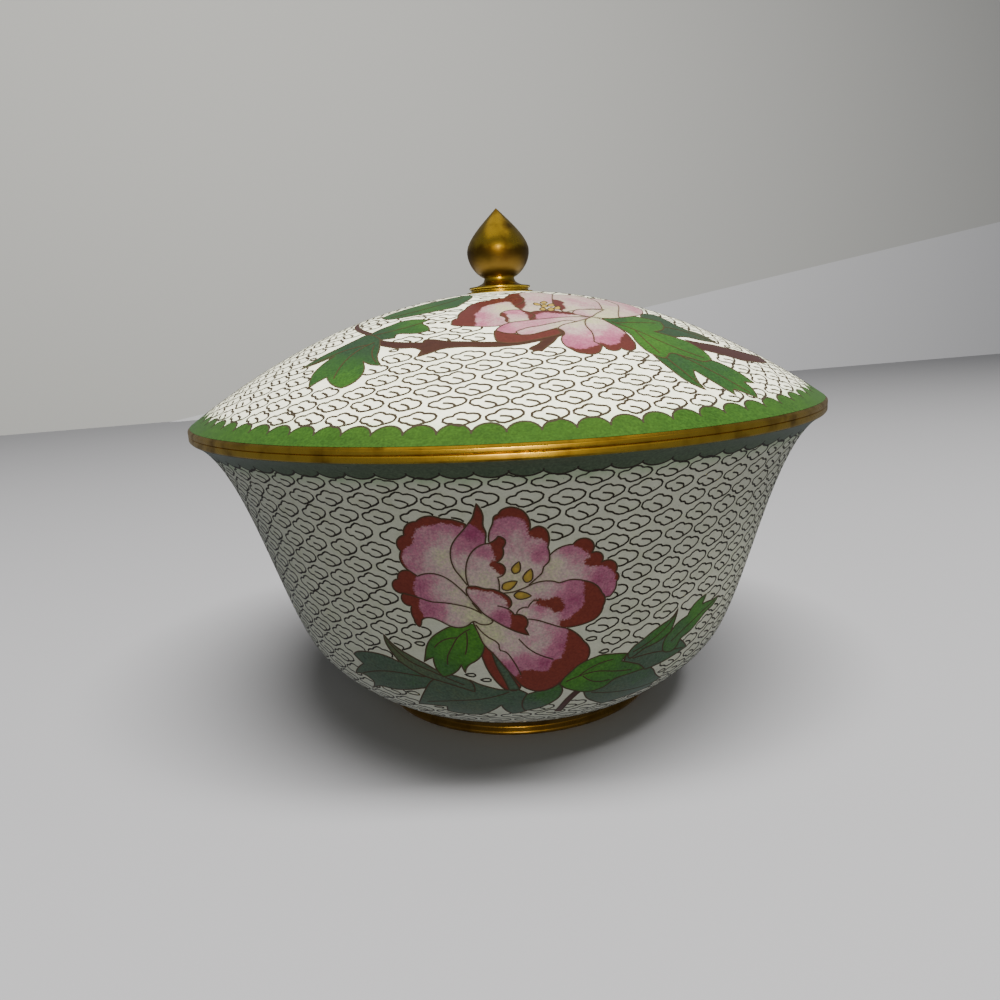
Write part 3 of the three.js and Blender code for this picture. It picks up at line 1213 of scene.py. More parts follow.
def lid_cells() -> list[Cell]:
    """Cells of the lid's spray, from the back to the front.

    Returns:
        The cells.
    """
    return [
        leaf(
            "-36.8 9.6 c, -33.4 7.8, -30 8.2, -26 9.2, -21.3 11, -18 12.4, -14.6 14 c, -12.4 18, -10.5 22,"
            "-9.5 26.5, -10 29 c, -14 27, -18.6 23.4, -25 19.2, -31 15, -35 12",
            "-28 12 1.2, -16 19 1.6, -22 15 0.8",
            "-33 9.4, -26 12.4, -19 17, -12 25",
        ),
        branch(
            "-34 -3.6 c, -38 -1.2, -43 1.6, -47 4.6 c, -49 6.4 c, -47.6 7.2 c, -44 4.2, -40 1.6, -36 -0.6 c"
        ),
        leaf(
            "25 -6 c, 29 -9.5, 33 -10, 38 -12, 44 -13.6 c, 42 -9.5, 38 -7.2 c, 36 -4, 34 2, 28 3",
            "32 -6 2.2, 40 -11 2.6",
            "27 -4, 33 -6, 38 -9, 43 -13",
        ),
        branch(
            "32 -11 c, 35 -12.4, 40 -14, 46 -16.2, 50 -17.6, 56 -19.6, 62 -21 c, 62 -23.4 c,"
            "58 -23.4, 50 -22,"
            "46 -21.2, 43 -19.8, 38 -17.4, 34 -15.6 c"
        ),
        leaf(
            "19.4 -15 c, 21 -20.5, 24 -26.5, 26.4 -28.6 c, 26 -25, 26.8 -22.4 c, 29.5 -26.5, 32.9 -31.2 c,"
            "33.4 -29.6, 36 -31, 38.4 -32.8 c, 39.2 -30, 38.3 -27.8 c, 41.5 -28.6 c, 39.3 -24.5, 36 -21,"
            "32 -18.5, 27 -16, 24 -13, 20.5 -10 c",
            "23 -20 1.5, 32 -22 1.3, 37 -28 0.8, 24 -26 1.1",
            "22 -13, 27 -18, 32 -24, 37.5 -31",
            "21.5 -15, 23.5 -21, 25.6 -26.5",
        ),
        leaf(
            "14.3 1.2 c, 16 -3, 17.9 -7.5, 18 -11, 19.4 -15.5, 22 -17.5, 24 -16, 28 -18, 32 -20,"
            "34.5 -19.4 c,"
            "34.5 -16.5, 32.6 -12.5, 29 -9.4, 25 -6.6 c, 29 -5.5, 31 -2 c, 27 0.5, 22 2.4, 17 1.8",
            "20 -4 0.3, 22 -12 0.2, 30 -16 0.7, 27 -2 0.6, 17 0 1.4",
            "16 -0.6, 21 -6.5, 25 -12, 32.5 -18.6",
            "17 -1.4, 22 -1.6, 28.6 -2.6",
            "20 -5.4, 20.4 -10, 21.6 -15.6",
        ),
        petal(
            "19 1.4 c, 23 1.8, 28 3, 32 6 c0.3, 32 12 c0.3, 27 16 c, 24 15.5 c, 24.8 10.5, 22.5 7.2,"
            "20.2 4",
            "22 4 0.7, 28 7 1.6, 24 9 1.1",
        ),
        petal(
            "12.2 2.5 c, 15 1.4, 19 1.3 c, 20.2 4, 22.5 7.2, 25 10.5 c, 24 15.5 c0.2, 18.4 17 c0.2,"
            "17.6 12,"
            "17.2 8, 16.5 6.3, 14 4.2",
            "15 3 0.1, 20 8 0.4, 22 11 1.2",
        ),
        petal(
            "-3.5 6 c, 3 4.6, 9.5 4 c, 9.2 15 c, 9.4 21 c0.3, 7.5 26 c0.3, 2 28 c0.3, -1.5 24 c0.2",
            "4 12 0.4, 4 18 1.2, 7 15 1.5, 4 24 0.9",
            pale="-4 3 c, 10 3 c, 9.8 20 c, 9 28 c, 3 30 c, 1.2 24, 0.8 18 c, 0.2 13 c",
        ),
        petal(
            "7 6 c, 12 7.6, 17 7.2 c, 18.6 12 c0.2, 18.4 17 c0.3, 15 21.5 c0.3, 9 22.6 c, 6.9 16, 6 11",
            "10 9 0.5, 14 10 1.2, 12 14 1.5, 8 14 0.7, 14 19 0.8",
            deep=("5.6 6 c, 8.4 9 c, 8.2 11.5, 9.2 14, 8.2 16.4, 6.4 17 c, 4 12 c",),
        ),
        petal(
            "-16.6 1.3 c, -12.5 0.3, -8 0, -5.5 1.4 c, -2 6, -1.8 9.5, -2.4 12, -0.4 14.5, 0.8 18,"
            "0.9 21 c0.3,"
            "-2.6 20.5 c0.3, -7 18.4 c0.3, -10 16.6 c0.15, -13 11.6 c0.15, -15.4 5.8 c0.3, -17 3 c0.5",
            "-5 11 0, -5 13 0.2, -12 3 1.6, -10.5 7 2.1, -9 12 1.6, -6 15.5 1.2, -3 17 1.6, -8 2 1.4,"
            "-6 8 0.6, -3 14 0.6, -11.5 1.5 2.2",
            pale="-12.6 0 c, -11.8 4, -11.4 7.6, -10 10.3, -8.4 13.4, -6.8 14.4, -4.6 16, -3.2 16.2,"
                 "-2.8 14 c,"
            "-2.2 11.4 c, -1.6 8 c, -4 -1 c",
        ),
        petal(
            "-5 1 c, -2 0.4, -0.3 3.8 c, 0.4 5.8, -1 8 c, -2.6 9.3, -4.8 8.9, -6.3 7.2, -6.6 5.6 c, -5.8 4,"
            "-6.2 2.4",
            "-3.4 5 1.2, -3.4 7.4 2.2, -2.6 2 0.4, -4.6 3 0.9",
            deep=(
                "-7 8 c, -5.4 7.4, -5.2 5.4, -5.2 3.8, -5.4 1.8 c, -8 1 c",
                "-1.8 9.4 c, -1.6 7, -1.2 5, -1.4 3.4, -1.2 1 c, 2 1 c, 2 9 c",
            ),
        ),
        petal(
            "8.5 5 c, 10 7.4, 14 7.2, 17.5 6.9 c, 14 4.3, 12.2 2.7, 9.8 4",
            "9.5 5.4 1.4, 14 6 0.6",
        ),
        petal(
            "-1.6 0.6 c, 3 0.2, 9.5 1.6 c, 12.2 2.6 c, 9.5 4, 8.9 4.8 c0.3, 6.2 6.6 c0.3, 2.4 7.6 c0.4,"
            "-0.4 6.6 c, 0.3 4.6, -1 3",
            "3 3 2.3, 5 5 1.8, 9 3 0.8, 1 2 1.8, 1.5 5 2.1",
            deep=(
                "-1.2 4.6 c, 0.6 5.4, 2.4 6.4, 5 5.7, 7.6 4.6, 9.4 3.6 c, 11 6 c, 6 9 c, -2 9 c",
                "-2 0 c, -0.4 0.6, 0.3 2.4, 0.1 4 c, -2 4 c",
            ),
        ),
        branch(
            "-36 -3 c, -32 -4.8, -28.5 -5.6, -23.9 -6.1 c, -23.4 -4.9, -22 -4.9, -19 -6, -15 -6.7,"
            "-10.4 -7.4,"
            "4.4 -2.4 c, 4.4 -4.2, 4.2 -6 c, 2.8 -6.3, 1 -8.6, -1 -10.8, -2.2 -12.2 c0.5, -3.6 -12.2 c0.4,"
            "-4.3 -11.2 c, -3.9 -10.5, -2.4 -9.4, -1.2 -7.8 c, -5 -9, -9 -9.5, -12 -9.4, -16 -8.9,"
            "-20.5 -9.4,"
            "-23 -10.8, -25.6 -12 c, -24.6 -9.5 c, -25.3 -8.8, -30 -8.1, -34 -6.4 c"
        ),
        petal(
            "-8.9 -1.8 c, -9.6 -4.5, -9.3 -7.5, -7 -8.3, -3 -7.6, 0.5 -6.5, 3.4 -5.4 c, 3.2 -2.8 c, 0 -3.6,"
            "-3.4 -5, -5 -4.6, -6.8 -3.4",
            "0 0 1",
            pale="40 40 c, 41 40 c, 41 41 c",
        ),
        petal(
            "-8.9 -2.2 c, -5.4 -4, -4 -3, 4 -0.9, 11.9 2.2 c, 8.5 3.1, 5 3, -2 2.2, -5 1.6,"
            "-6.8 0.6, -8 -0.6",
            "-7 -1.4 2.4, -4 0 1.6, 0 1.4 1.7, 6 1.6 0.9",
        ),
        petal(
            "-5.2 -3.3 c, -4.8 -4.7, -3.2 -5, 0 -3.9, 3.5 -2.2, 6.2 -0.7, 7.8 0.2 c, 7 1, 3 0.2, 0 -0.9,"
            "-2.8 -1.7",
            "-3.6 -3.6 1.5, 0 -2.4 1.2, 4 -0.8 0.5",
        ),
        petal(
            "12.1 2.4 c, 8 0.3, 4.5 -1.2, 3.2 -2.6 c, 3.9 -5.4, 2.9 -6.9, 2.5 -8.8, 2.8 -10.8,"
            "3.7 -12.3 c0.3,"
            "5.8 -14 c0.5, 9.2 -12.9 c0.2, 10 -10 c, 9.8 -6, 9.4 -2, 10.2 0.8",
            "11 1 0, 7 -1.6 0.5, 6.5 -4.5 1, 4.4 -8.6 2.5, 7.4 -8.6 2.3, 9.2 -6.6 1.6, 5 -10.6 2.6,"
            "8 -10.6 2.5",
            deep=("2 -10.6 c, 3.6 -10.9, 4.5 -11.8, 6.2 -12.3, 7.5 -11.6, 8.9 -11, 11 -10.8 c,"
                  "11 -15 c, 2 -15 c",),
        ),
        petal(
            "12.2 2.5 c, 10.2 0.8, 9.4 -1.8, 9.6 -5.5, 8.8 -9.5 c, 10.3 -11.9 c0.8, 13.6 -12.7 c0.8,"
            "17 -12.5 c0.2, 17.4 -10 c, 17.3 -7.5, 16.6 -4.5, 15.3 -1.5, 14.2 0.8, 13 2",
            "12 0.4 0, 12.5 -3 0.7, 11 -8.4 2.4, 14.4 -7 2.2, 16 -4.6 1.7, 10.5 -6 1.4, 13.4 -9.4 2.7",
            deep=(
                "8.4 -10.2 c, 9.9 -10, 10.8 -10.6, 11.8 -11.4, 13 -11, 14 -10.4, 14.8 -8.7, 16 -7.7,"
                "16.8 -6.6,"
                "18.6 -6 c, 19 -15 c, 8 -15 c",
            ),
        ),
        leaf(
            "-38 -2 c, -34 -4 c, -30.2 -3.4 c, -29.9 -1.9, -25 -1.6, -22.1 -0.5 c, -22.2 1.5, -23.4 4,"
            "-21.5 5.6 c, -26 6.6, -29 5.8, -32 3.6, -35 1.4",
            "-34 -1.6 1.9, -27 2 0.9, -24 4 0.6",
            "-36.6 -1.6, -31 0.4, -26.5 2.4, -22.6 4.8",
        ),
        leaf(
            "-34 -3.5 c, -38 -1, -41.5 -3.5, -46 -7, -51 -10.6, -56.5 -15.6 c, -51 -13.2, -46 -10.4 c,"
            "-49.2 -14, -51 -18, -50.6 -22 c, -48 -19.6, -46.4 -18.5 c, -44.6 -20.9, -42.2 -22.1 c,"
            "-39 -20,"
            "-37.2 -16.8, -37.6 -12.9 c, -35.6 -14.3, -33.3 -14.6 c, -34.2 -11.5, -33.8 -8",
            "-36 -6 2, -42 -7 2, -44 -14 1.0, -42 -19 0.3, -50 -16 0.8, -52 -12 1.6",
            "-35.4 -5, -40 -9, -43 -14, -44.4 -19",
            "-36.4 -5.8, -43 -8, -50 -12, -54.6 -14.8",
            "-35.2 -6.4, -35.6 -10, -34.4 -13.6",
        ),
        stamen(2.9, 9.0, 3.1, 10.2),
        stamen(4.6, 8.6, 5.0, 9.9),
        stamen(6.3, 9.4, 6.9, 10.6),
        stamen(3.8, 11.4, 4.1, 12.7),
        stamen(5.5, 11.8, 6.0, 13.1),
        stamen(2.5, 13.0, 2.3, 14.3),
        stamen(4.4, 14.2, 4.8, 15.5),
    ]


# Cloud field and borders


@dataclass(frozen=True)
class Clouds:
    """Rows of small cloud wires that fill the white ground."""

    skin: Skin
    first: float
    last: float
    row: float
    pitch: float
    tall: float
    wire: Wire
    seed: int

    SHAPE = (
        "-0.85 0.05, 0.1 -0.17, 0.86 -0.46, 1.24 -0.88, 1.12 -1.36, 0.5 -1.7, -0.38 -1.86, -1.15 -1.6,"
        "-1.68 -1.1, -2.5 -1.02, -3.18 -0.45, -3.12 0.28, -2.45 0.74, -1.6 0.84, -1.12 1.42, -0.3 1.84,"
        "0.48 1.72, 0.98 1.32, 1.9 1.32, 2.75 1.0, 3.2 0.4, 3.05 -0.32, 2.35 -0.9, 1.1 -1.4"
    )
    LOOP = "-1.6 0, -0.9 0.45, 0 0.72, 0.9 0.66, 1.5 0.2, 1.45 -0.35, 0.7 -0.7, -0.4 -0.6, -1.1 -0.3"
    CLOUD_PLACES = (
        (1.0, 0, 0), (1.0, -0.5, 0), (1.0, 0.5, 0),
        (0.82, -1, 0), (0.82, 1, 0), (0.82, 0, 0.5), (0.82, 0, -0.5),
        (0.66, -1.2, 0.4), (0.66, 1.2, 0.4), (0.66, -1.2, -0.4), (0.66, 1.2, -0.4),
    )
    LOOP_PLACES = (
        (0, 0), (-1.6, 0), (1.6, 0), (0, 0.9), (0, -0.9),
        (-2.2, 0.7), (2.2, 0.7), (-2.2, -0.7), (2.2, -0.7),
    )
    CLEAR_GAP = 0.3
    CUT_GAP = 0.16

    def template(self, text: str) -> np.ndarray:
        """Reads the points of a template.

        Args:
            text: Points parted by commas.

        Returns:
            Points as rows, with the field's height.
        """
        points = np.array([[float(word) for word in part.split()] for part in text.split(",")])
        return points * [1, self.tall]

    def slots(self) -> np.ndarray:
        """Lays out the middles of all clouds.

        Rows are one row height apart. A row has as many clouds as the pitch allows, and every second row
        starts half a pitch later.

        Returns:
            Angle and arc length of each slot, as rows.
        """
        found = []
        rows = np.arange(self.first, self.last, self.row)
        for index, arc_length in enumerate(rows):
            count = max(int(round(2 * math.pi * float(self.skin.radius(arc_length)) / self.pitch)), 3)
            turn = (np.arange(count) + 0.5 * (index % 2) + 0.13 * index) * 2 * np.pi / count
            found.append(np.stack([turn, np.full(count, arc_length)], axis=-1))
        return np.vstack(found)

    def lay(self, slots: np.ndarray, shapes: np.ndarray) -> tuple[np.ndarray, np.ndarray]:
        """Angles and arc lengths of shapes laid at slots.

        Args:
            slots: Angle and arc length of each slot.
            shapes: Array of shapes, points and two coordinates.

        Returns:
            Angle and arc length of every point.
        """
        arc_length = slots[:, 1, None] + shapes[..., 1]
        return slots[:, 0, None] + shapes[..., 0] / self.skin.radius(arc_length), arc_length

    def field(self, sprays: list[tuple[Spray, Spot]]) -> Sheet:
        """Makes the wires of the whole field.

        A slot takes a full cloud when it is clear of the sprays, else a smaller one moved aside, else a
        loop in one of several places, else nothing. Turns, sizes and places vary slightly.

        Args:
            sprays: Sprays with their spots.

        Returns:
            One mesh.
        """
        rng = np.random.default_rng(self.seed)
        slots = self.slots()
        slots = slots + rng.normal(0, 1, slots.shape) * [0.002, 0.12]
        tries = [(self.SHAPE, *place) for place in self.CLOUD_PLACES]
        tries += [(self.LOOP, size, x, y) for size in (1.0, 0.7) for x, y in self.LOOP_PLACES]
        left = np.arange(len(slots))
        made = []
        for text, size, x, y in tries:
            if not len(left):
                break
            shape = self.template(text) * size
            turn = rng.normal(0, 0.05, len(left))[:, None]
            scale = 1 + rng.normal(0, 0.035, (len(left), 1, 2))
            shapes = np.broadcast_to(shape, (len(left), *shape.shape)) * scale
            shapes = shapes + rng.normal(0, 0.03, shapes.shape)
            shapes = np.stack(
                [
                    shapes[..., 0] * np.cos(turn) - shapes[..., 1] * np.sin(turn) + x,
                    shapes[..., 0] * np.sin(turn) + shapes[..., 1] * np.cos(turn) + y,
                ],
                axis=-1,
            )
            angle, arc_length = self.lay(slots[left], shapes)
            free = np.ones(len(left), dtype=bool)
            for spray, spot in sprays:
                flat = spot.plan(angle, arc_length)
                ok = spray.clear(flat.reshape(-1, 2), self.CLEAR_GAP).reshape(flat.shape[:2])
                free &= ok.all(axis=1)
            if free.any():
                closed = text is self.LOOP
                made.append(self.wire.trace(self.skin, angle[free], arc_length[free], closed))
            left = left[~free]
            if text is self.SHAPE and size == 1.0 and x > 0:
                cut, rest = self.cut(slots[left], sprays)
                made.extend(cut)
                left = left[rest]
        return Sheet.join(made)

    def cut(self, slots: np.ndarray, sprays: list[tuple[Spray, Spot]]) -> tuple[list[Sheet], np.ndarray]:
        """Makes clouds that end where they meet a spray.

        The cloud is sampled finely. Each stretch outside the cells is kept when it is long enough, and then
        thinned out to a third of its samples.

        Args:
            slots: Angle and arc length of each slot.
            sprays: Sprays with their spots.

        Returns:
            The wires, and a truth value for each slot that stays empty.
        """
        shape = self.template(self.SHAPE)
        reach = np.r_[0, np.cumsum(np.linalg.norm(np.diff(shape, axis=0), axis=1))]
        at = np.arange(0, reach[-1], 0.15)
        fine = np.stack([np.interp(at, reach, shape[:, column]) for column in (0, 1)], axis=-1)
        angle, arc_length = self.lay(slots, np.broadcast_to(fine, (len(slots), *fine.shape)))
        free = np.ones(angle.shape, dtype=bool)
        for spray, spot in sprays:
            flat = spot.plan(angle, arc_length)
            free &= spray.clear(flat.reshape(-1, 2), self.CUT_GAP).reshape(angle.shape)
        made = []
        rest = free.mean(axis=1) < 0.45
        for index in np.flatnonzero(~rest):
            shown = np.flatnonzero(free[index])
            for run in np.split(shown, np.flatnonzero(np.diff(shown) > 1) + 1):
                if len(run) >= 16:
                    kept = np.r_[run[:-1:3], run[-1]]
                    path = angle[index, kept][None], arc_length[index, kept][None]
                    made.append(self.wire.trace(self.skin, *path, False))
        return made, rest


@dataclass(frozen=True)
class Border:
    """Green scalloped border at the edge of a skin."""

    skin: Skin
    edge: float
    cusp: float
    crest: float
    tail: float
    wire: Wire
    scallops: int = 80
    samples: int = 10

    def line(self, share: np.ndarray) -> np.ndarray:
        """Arc length of the scalloped line.

        Each scallop is a circular arc from cusp to cusp through the crest.

        Args:
            share: Place within a scallop from 0 to 1.

        Returns:
            The arc length.
        """
        half = math.pi * float(self.skin.radius((self.cusp + self.crest) / 2)) / self.scallops
        rise = abs(self.crest - self.cusp)
        radius = (half**2 + rise**2) / (2 * rise)
        across = (2 * share - 1) * half
        height = np.sqrt(np.maximum(radius**2 - across**2, 0)) - (radius - rise)
        return self.cusp + np.sign(self.crest - self.cusp) * height

    def ring(self) -> Sheet:
        """Makes the closed green inlay.

        Rows run from the skin's edge to the scalloped line over the skin, and back inside the wall.

        Returns:
            The mesh with the value "glaze".
        """
        columns = self.scallops * self.samples
        share = (np.arange(columns) % self.samples) / self.samples
        angle = np.arange(columns) * 2 * np.pi / columns
        far = self.line(share)
        rows = [0.0, 0.25, 0.5, 0.75, 1.0]
        upper = [self.edge + row * (far - self.edge) for row in rows]
        arcs = np.array([*upper, far, np.full(columns, self.edge)])
        lifts = np.array([Spray.TOP] * 5 + [Spray.BOTTOM] * 2)[:, None]
        corners = self.skin.place(np.broadcast_to(angle, arcs.shape), arcs, lifts)
        faces = lattice(len(arcs), columns, wrap_rows=True)
        if self.crest < self.edge:
            faces = faces[:, ::-1]
        glaze = np.stack([np.full(arcs.shape, 0.4), np.full(arcs.shape, -3.0), np.abs(arcs - far)], axis=-1)
        return Sheet(corners.reshape(-1, 3), [faces], {"glaze": glaze.reshape(-1, 3)})

    def arches(self) -> Sheet:
        """Makes the wire arches, with a short tail into the green at each end.

        Returns:
            One mesh.
        """
        share = np.linspace(0, 1, self.samples + 1)
        height = self.line(share)
        toward = np.sign(self.edge - self.crest)
        share = np.r_[0.0, share, 1.0]
        height = np.r_[height[0] + toward * self.tail, height, height[-1] + toward * self.tail]
        start = np.arange(self.scallops)[:, None]
        angle = (start + share) * 2 * np.pi / self.scallops
        return self.wire.trace(self.skin, angle, np.broadcast_to(height, angle.shape), False)


# Node work


class Graph:
    """Adds and joins the nodes of one tree."""

    def __init__(self, tree: bpy.types.NodeTree) -> None:
        """Keeps the tree.

        Args:
            tree: Node tree of a material or a group.
        """
        self.tree = tree

    def add(self, kind: str, inputs: dict | None = None, **settings) -> bpy.types.Node:
        """Adds a node.

        Args:
            kind: Its type name.
            inputs: Sockets or values by input name or index.
            **settings: Properties of the node.

        Returns:
            The node.
        """
        made = self.tree.nodes.new(kind)
        for key, value in settings.items():
            setattr(made, key, value)
        for key, value in (inputs or {}).items():
            if isinstance(value, bpy.types.NodeSocket):
                self.tree.links.new(value, made.inputs[key])
            else:
                made.inputs[key].default_value = value
        return made

    def link(self, source: bpy.types.NodeSocket, target: bpy.types.NodeSocket) -> None:
        """Joins an output to an input.

        Args:
            source: The output.
            target: The input.
        """
        self.tree.links.new(source, target)

    def math(self, operation: str, first, second=0.0, clamp: bool = False) -> bpy.types.NodeSocket:
        """Adds a sum, product or the like.

        Args:
            operation: Name of the operation.
            first: Socket or number.
            second: Socket or number.
            clamp: True to hold the result between 0 and 1.

        Returns:
            The result's socket.
        """
        return self.add(
            "ShaderNodeMath", {0: first, 1: second}, operation=operation, use_clamp=clamp
        ).outputs[0]

    def blend(self, share, first, second, mode: str = "MIX") -> bpy.types.NodeSocket:
        """Mixes two colours.

        Args:
            share: Socket or number, 0 for the first and 1 for the second.
            first: Socket or colour.
            second: Socket or colour.
            mode: Way of mixing.

        Returns:
            The colour's socket.
        """
        return self.add(
            "ShaderNodeMix", {0: share, 6: rgba(first), 7: rgba(second)}, data_type="RGBA", blend_type=mode
        ).outputs[2]

    def ramp(self, value, stops: list[tuple[float, Shade]]) -> bpy.types.NodeSocket:
        """Turns a value into a colour.

        Args:
            value: Socket with values from 0 to 1.
            stops: Places and colours.

        Returns:
            The colour's socket.
        """
        made = self.add("ShaderNodeValToRGB", {0: value})
        ramp = made.color_ramp
        while len(ramp.elements) < len(stops):
            ramp.elements.new(0.5)
        for element, (place, shade) in zip(ramp.elements, stops):
            element.position = place
            element.color = (*shade, 1)
        return made.outputs[0]

    def noise(self, where, scale: float, detail: float = 2.0) -> bpy.types.NodeSocket:
        """Adds cloudy noise.

        Args:
            where: Socket with the place.
            scale: Grains per unit.
            detail: Number of finer layers.

        Returns:
            Its value, about 0.5 in the mean.
        """
        return self.add("ShaderNodeTexNoise", {"Vector": where, "Scale": scale, "Detail": detail}).outputs[0]

    def step(self, value, low: float, high: float) -> bpy.types.NodeSocket:
        """Smooth step from 0 at the low bound to 1 at the high bound.

        Args:
            value: Socket.
            low: Value where the step starts.
            high: Value where it ends.

        Returns:
            The step's socket.
        """
        return self.add(
            "ShaderNodeMapRange", {0: value, 1: low, 2: high}, interpolation_type="SMOOTHSTEP"
        ).outputs[0]

    def millimetres(self) -> bpy.types.NodeSocket:
        """Object coordinates in millimetres.

        Returns:
            The vector's socket.
        """
        where = self.add("ShaderNodeTexCoord").outputs["Object"]
        return self.add("ShaderNodeVectorMath", {0: where, "Scale": 1 / MM}, operation="SCALE").outputs[0]


def rgba(colour):
    """Gives a colour its fourth number, and leaves a socket as it is.

    Args:
        colour: Socket or three numbers.

    Returns:
        Socket or four numbers.
    """
    return colour if isinstance(colour, bpy.types.NodeSocket) else (*colour[:3], 1.0)


class Groups:
    """Node groups that several finishes share."""

    def __init__(self) -> None:
        """Makes the groups."""
        self.enamel = self.make_enamel()
        self.brass = self.make_brass()

    @staticmethod
    def start(name: str, inputs: dict[str, str], outputs: dict[str, str]):
        """Starts a group.

        Args:
            name: Its name.
            inputs: Socket types by input name.
            outputs: Socket types by output name.

        Returns:
            The group, its graph, its input node and its output node.
        """
        tree = bpy.data.node_groups.new(name, "ShaderNodeTree")
        for label, kind in inputs.items():
            tree.interface.new_socket(name=label, in_out="INPUT", socket_type=kind)
        for label, kind in outputs.items():
            tree.interface.new_socket(name=label, in_out="OUTPUT", socket_type=kind)
        return tree, Graph(tree), tree.nodes.new("NodeGroupInput"), tree.nodes.new("NodeGroupOutput")

    def make_enamel(self) -> bpy.types.NodeTree:
        """Fired enamel: granular colour, slight cloudiness, specks and small pits.

        Returns:
            The group.
        """
        tree, graph, given, result = self.start(
            "fired enamel",
            {"Colour": "NodeSocketColor", "Grain": "NodeSocketFloat", "Specks": "NodeSocketFloat"},
            {"Colour": "NodeSocketColor", "Roughness": "NodeSocketFloat", "Height": "NodeSocketFloat"},
        )
        where = graph.millimetres()
        fine = graph.noise(where, 2.0, 3.0)
        broad = graph.noise(where, 0.16, 3.0)
        grain = graph.math("MULTIPLY", graph.math("SUBTRACT", fine, 0.5), given.outputs["Grain"])
        cloudy = graph.math("MULTIPLY", graph.math("SUBTRACT", broad, 0.5), 0.22)
        level = graph.math("ADD", graph.math("ADD", grain, cloudy), 1.0)
        lit = graph.add(
            "ShaderNodeVectorMath", {0: given.outputs["Colour"], "Scale": level}, operation="SCALE"
        ).outputs[0]
        cells = graph.add("ShaderNodeTexVoronoi", {"Vector": where, "Scale": 0.55, "Randomness": 1.0})
        lone = graph.add("ShaderNodeSeparateColor", {0: cells.outputs["Color"]}).outputs[0]
        size = graph.math("MULTIPLY", graph.math("SUBTRACT", lone, 0.62), 0.16)
        speck = graph.step(graph.math("SUBTRACT", size, cells.outputs["Distance"]), -0.01, 0.02)
        speck = graph.math("MULTIPLY", speck, given.outputs["Specks"], clamp=True)
        shade = graph.blend(speck, lit, (0.03, 0.03, 0.025))
        graph.link(shade, result.inputs["Colour"])
        rough = graph.math("ADD", graph.math("MULTIPLY", broad, 0.16), 0.22)
        rough = graph.math("ADD", rough, graph.math("MULTIPLY", speck, 0.5), clamp=True)
        graph.link(rough, result.inputs["Roughness"])
        peel = graph.noise(where, 0.9, 1.0)
        height = graph.math("SUBTRACT", graph.math("MULTIPLY", peel, 0.5), speck)
        graph.link(height, result.inputs["Height"])
        return tree

    def make_brass(self) -> bpy.types.NodeTree:
        """Aged brass: bright metal with brown tarnish in blotches and fine scratches.

        Returns:
            The group.
        """
        tree, graph, given, result = self.start(
            "aged brass",
            {"Bright": "NodeSocketColor", "Tarnish": "NodeSocketColor", "Amount": "NodeSocketFloat"},
            {"Colour": "NodeSocketColor", "Roughness": "NodeSocketFloat", "Height": "NodeSocketFloat"},
        )
        where = graph.millimetres()
        blotch = graph.noise(where, 0.22, 3.0)
        fine = graph.noise(where, 2.2, 3.0)
        level = graph.math("ADD", blotch, graph.math("MULTIPLY", graph.math("SUBTRACT", fine, 0.5), 0.12))
        level = graph.math("ADD", level, graph.math("SUBTRACT", given.outputs["Amount"], 0.5))
        mask = graph.step(level, 0.36, 0.74)
        shade = graph.blend(mask, given.outputs["Bright"], given.outputs["Tarnish"])
        graph.link(shade, result.inputs["Colour"])
        rough = graph.math("ADD", graph.math("MULTIPLY", mask, 0.16), graph.math("MULTIPLY", fine, 0.08))
        graph.link(graph.math("ADD", rough, 0.24, clamp=True), result.inputs["Roughness"])
        graph.link(fine, result.inputs["Height"])
        return tree


@dataclass(frozen=True)
class Glaze:
    """Fired enamel finish of one kind of cell."""

    name: str
    stops: tuple[tuple[float, Shade], ...]
    grain: float = 0.5
    specks: float = 0.6
    drift: float = 0.5
    deep: Shade = (0.15, 0.024, 0.016)
    edge: float = 0.3
    level: float = 1.0

    def make(self, groups: Groups) -> bpy.types.Material:
        """Makes the material.

        The tone picks a colour between the stops, with stippled noise. Where the depth value passes zero
        the deep colour takes over, and the last fifth of a millimetre before a wire is a little darker.

        Args:
            groups: Shared node groups.

        Returns:
            The material.
        """
        material, graph, shader = plain(self.name)
        glaze = graph.add("ShaderNodeAttribute", attribute_name="glaze").outputs["Vector"]
        parts = graph.add("ShaderNodeSeparateXYZ", {0: glaze})
        where = graph.millimetres()
        stipple = graph.math("SUBTRACT", graph.noise(where, 2.6, 3.0), 0.5)
        patch = graph.math("SUBTRACT", graph.noise(where, 0.5, 2.0), 0.5)
        sway = graph.math("ADD", graph.math("MULTIPLY", stipple, 2.2), graph.math("MULTIPLY", patch, 1.6))
        tone = graph.math("ADD", parts.outputs[0], graph.math("MULTIPLY", sway, self.drift))
        stops = [(place, tuple(part * self.level for part in shade)) for place, shade in self.stops]
        colour = graph.ramp(graph.math("DIVIDE", tone, 3.0, clamp=True), stops)
        border = graph.math("ADD", parts.outputs[1], graph.math("MULTIPLY", sway, 0.6))
        colour = graph.blend(graph.step(border, -0.3, 0.25), colour, self.deep)
        near = graph.math("MULTIPLY", graph.step(parts.outputs[2], 0.55, 0.05), self.edge)
        colour = graph.blend(near, colour, (0.05, 0.035, 0.02))
        fired = graph.add("ShaderNodeGroup", node_tree=groups.enamel)
        fired.inputs["Grain"].default_value = self.grain
        fired.inputs["Specks"].default_value = self.specks
        graph.link(colour, fired.inputs["Colour"])
        finish_enamel(graph, shader, fired)
        return material


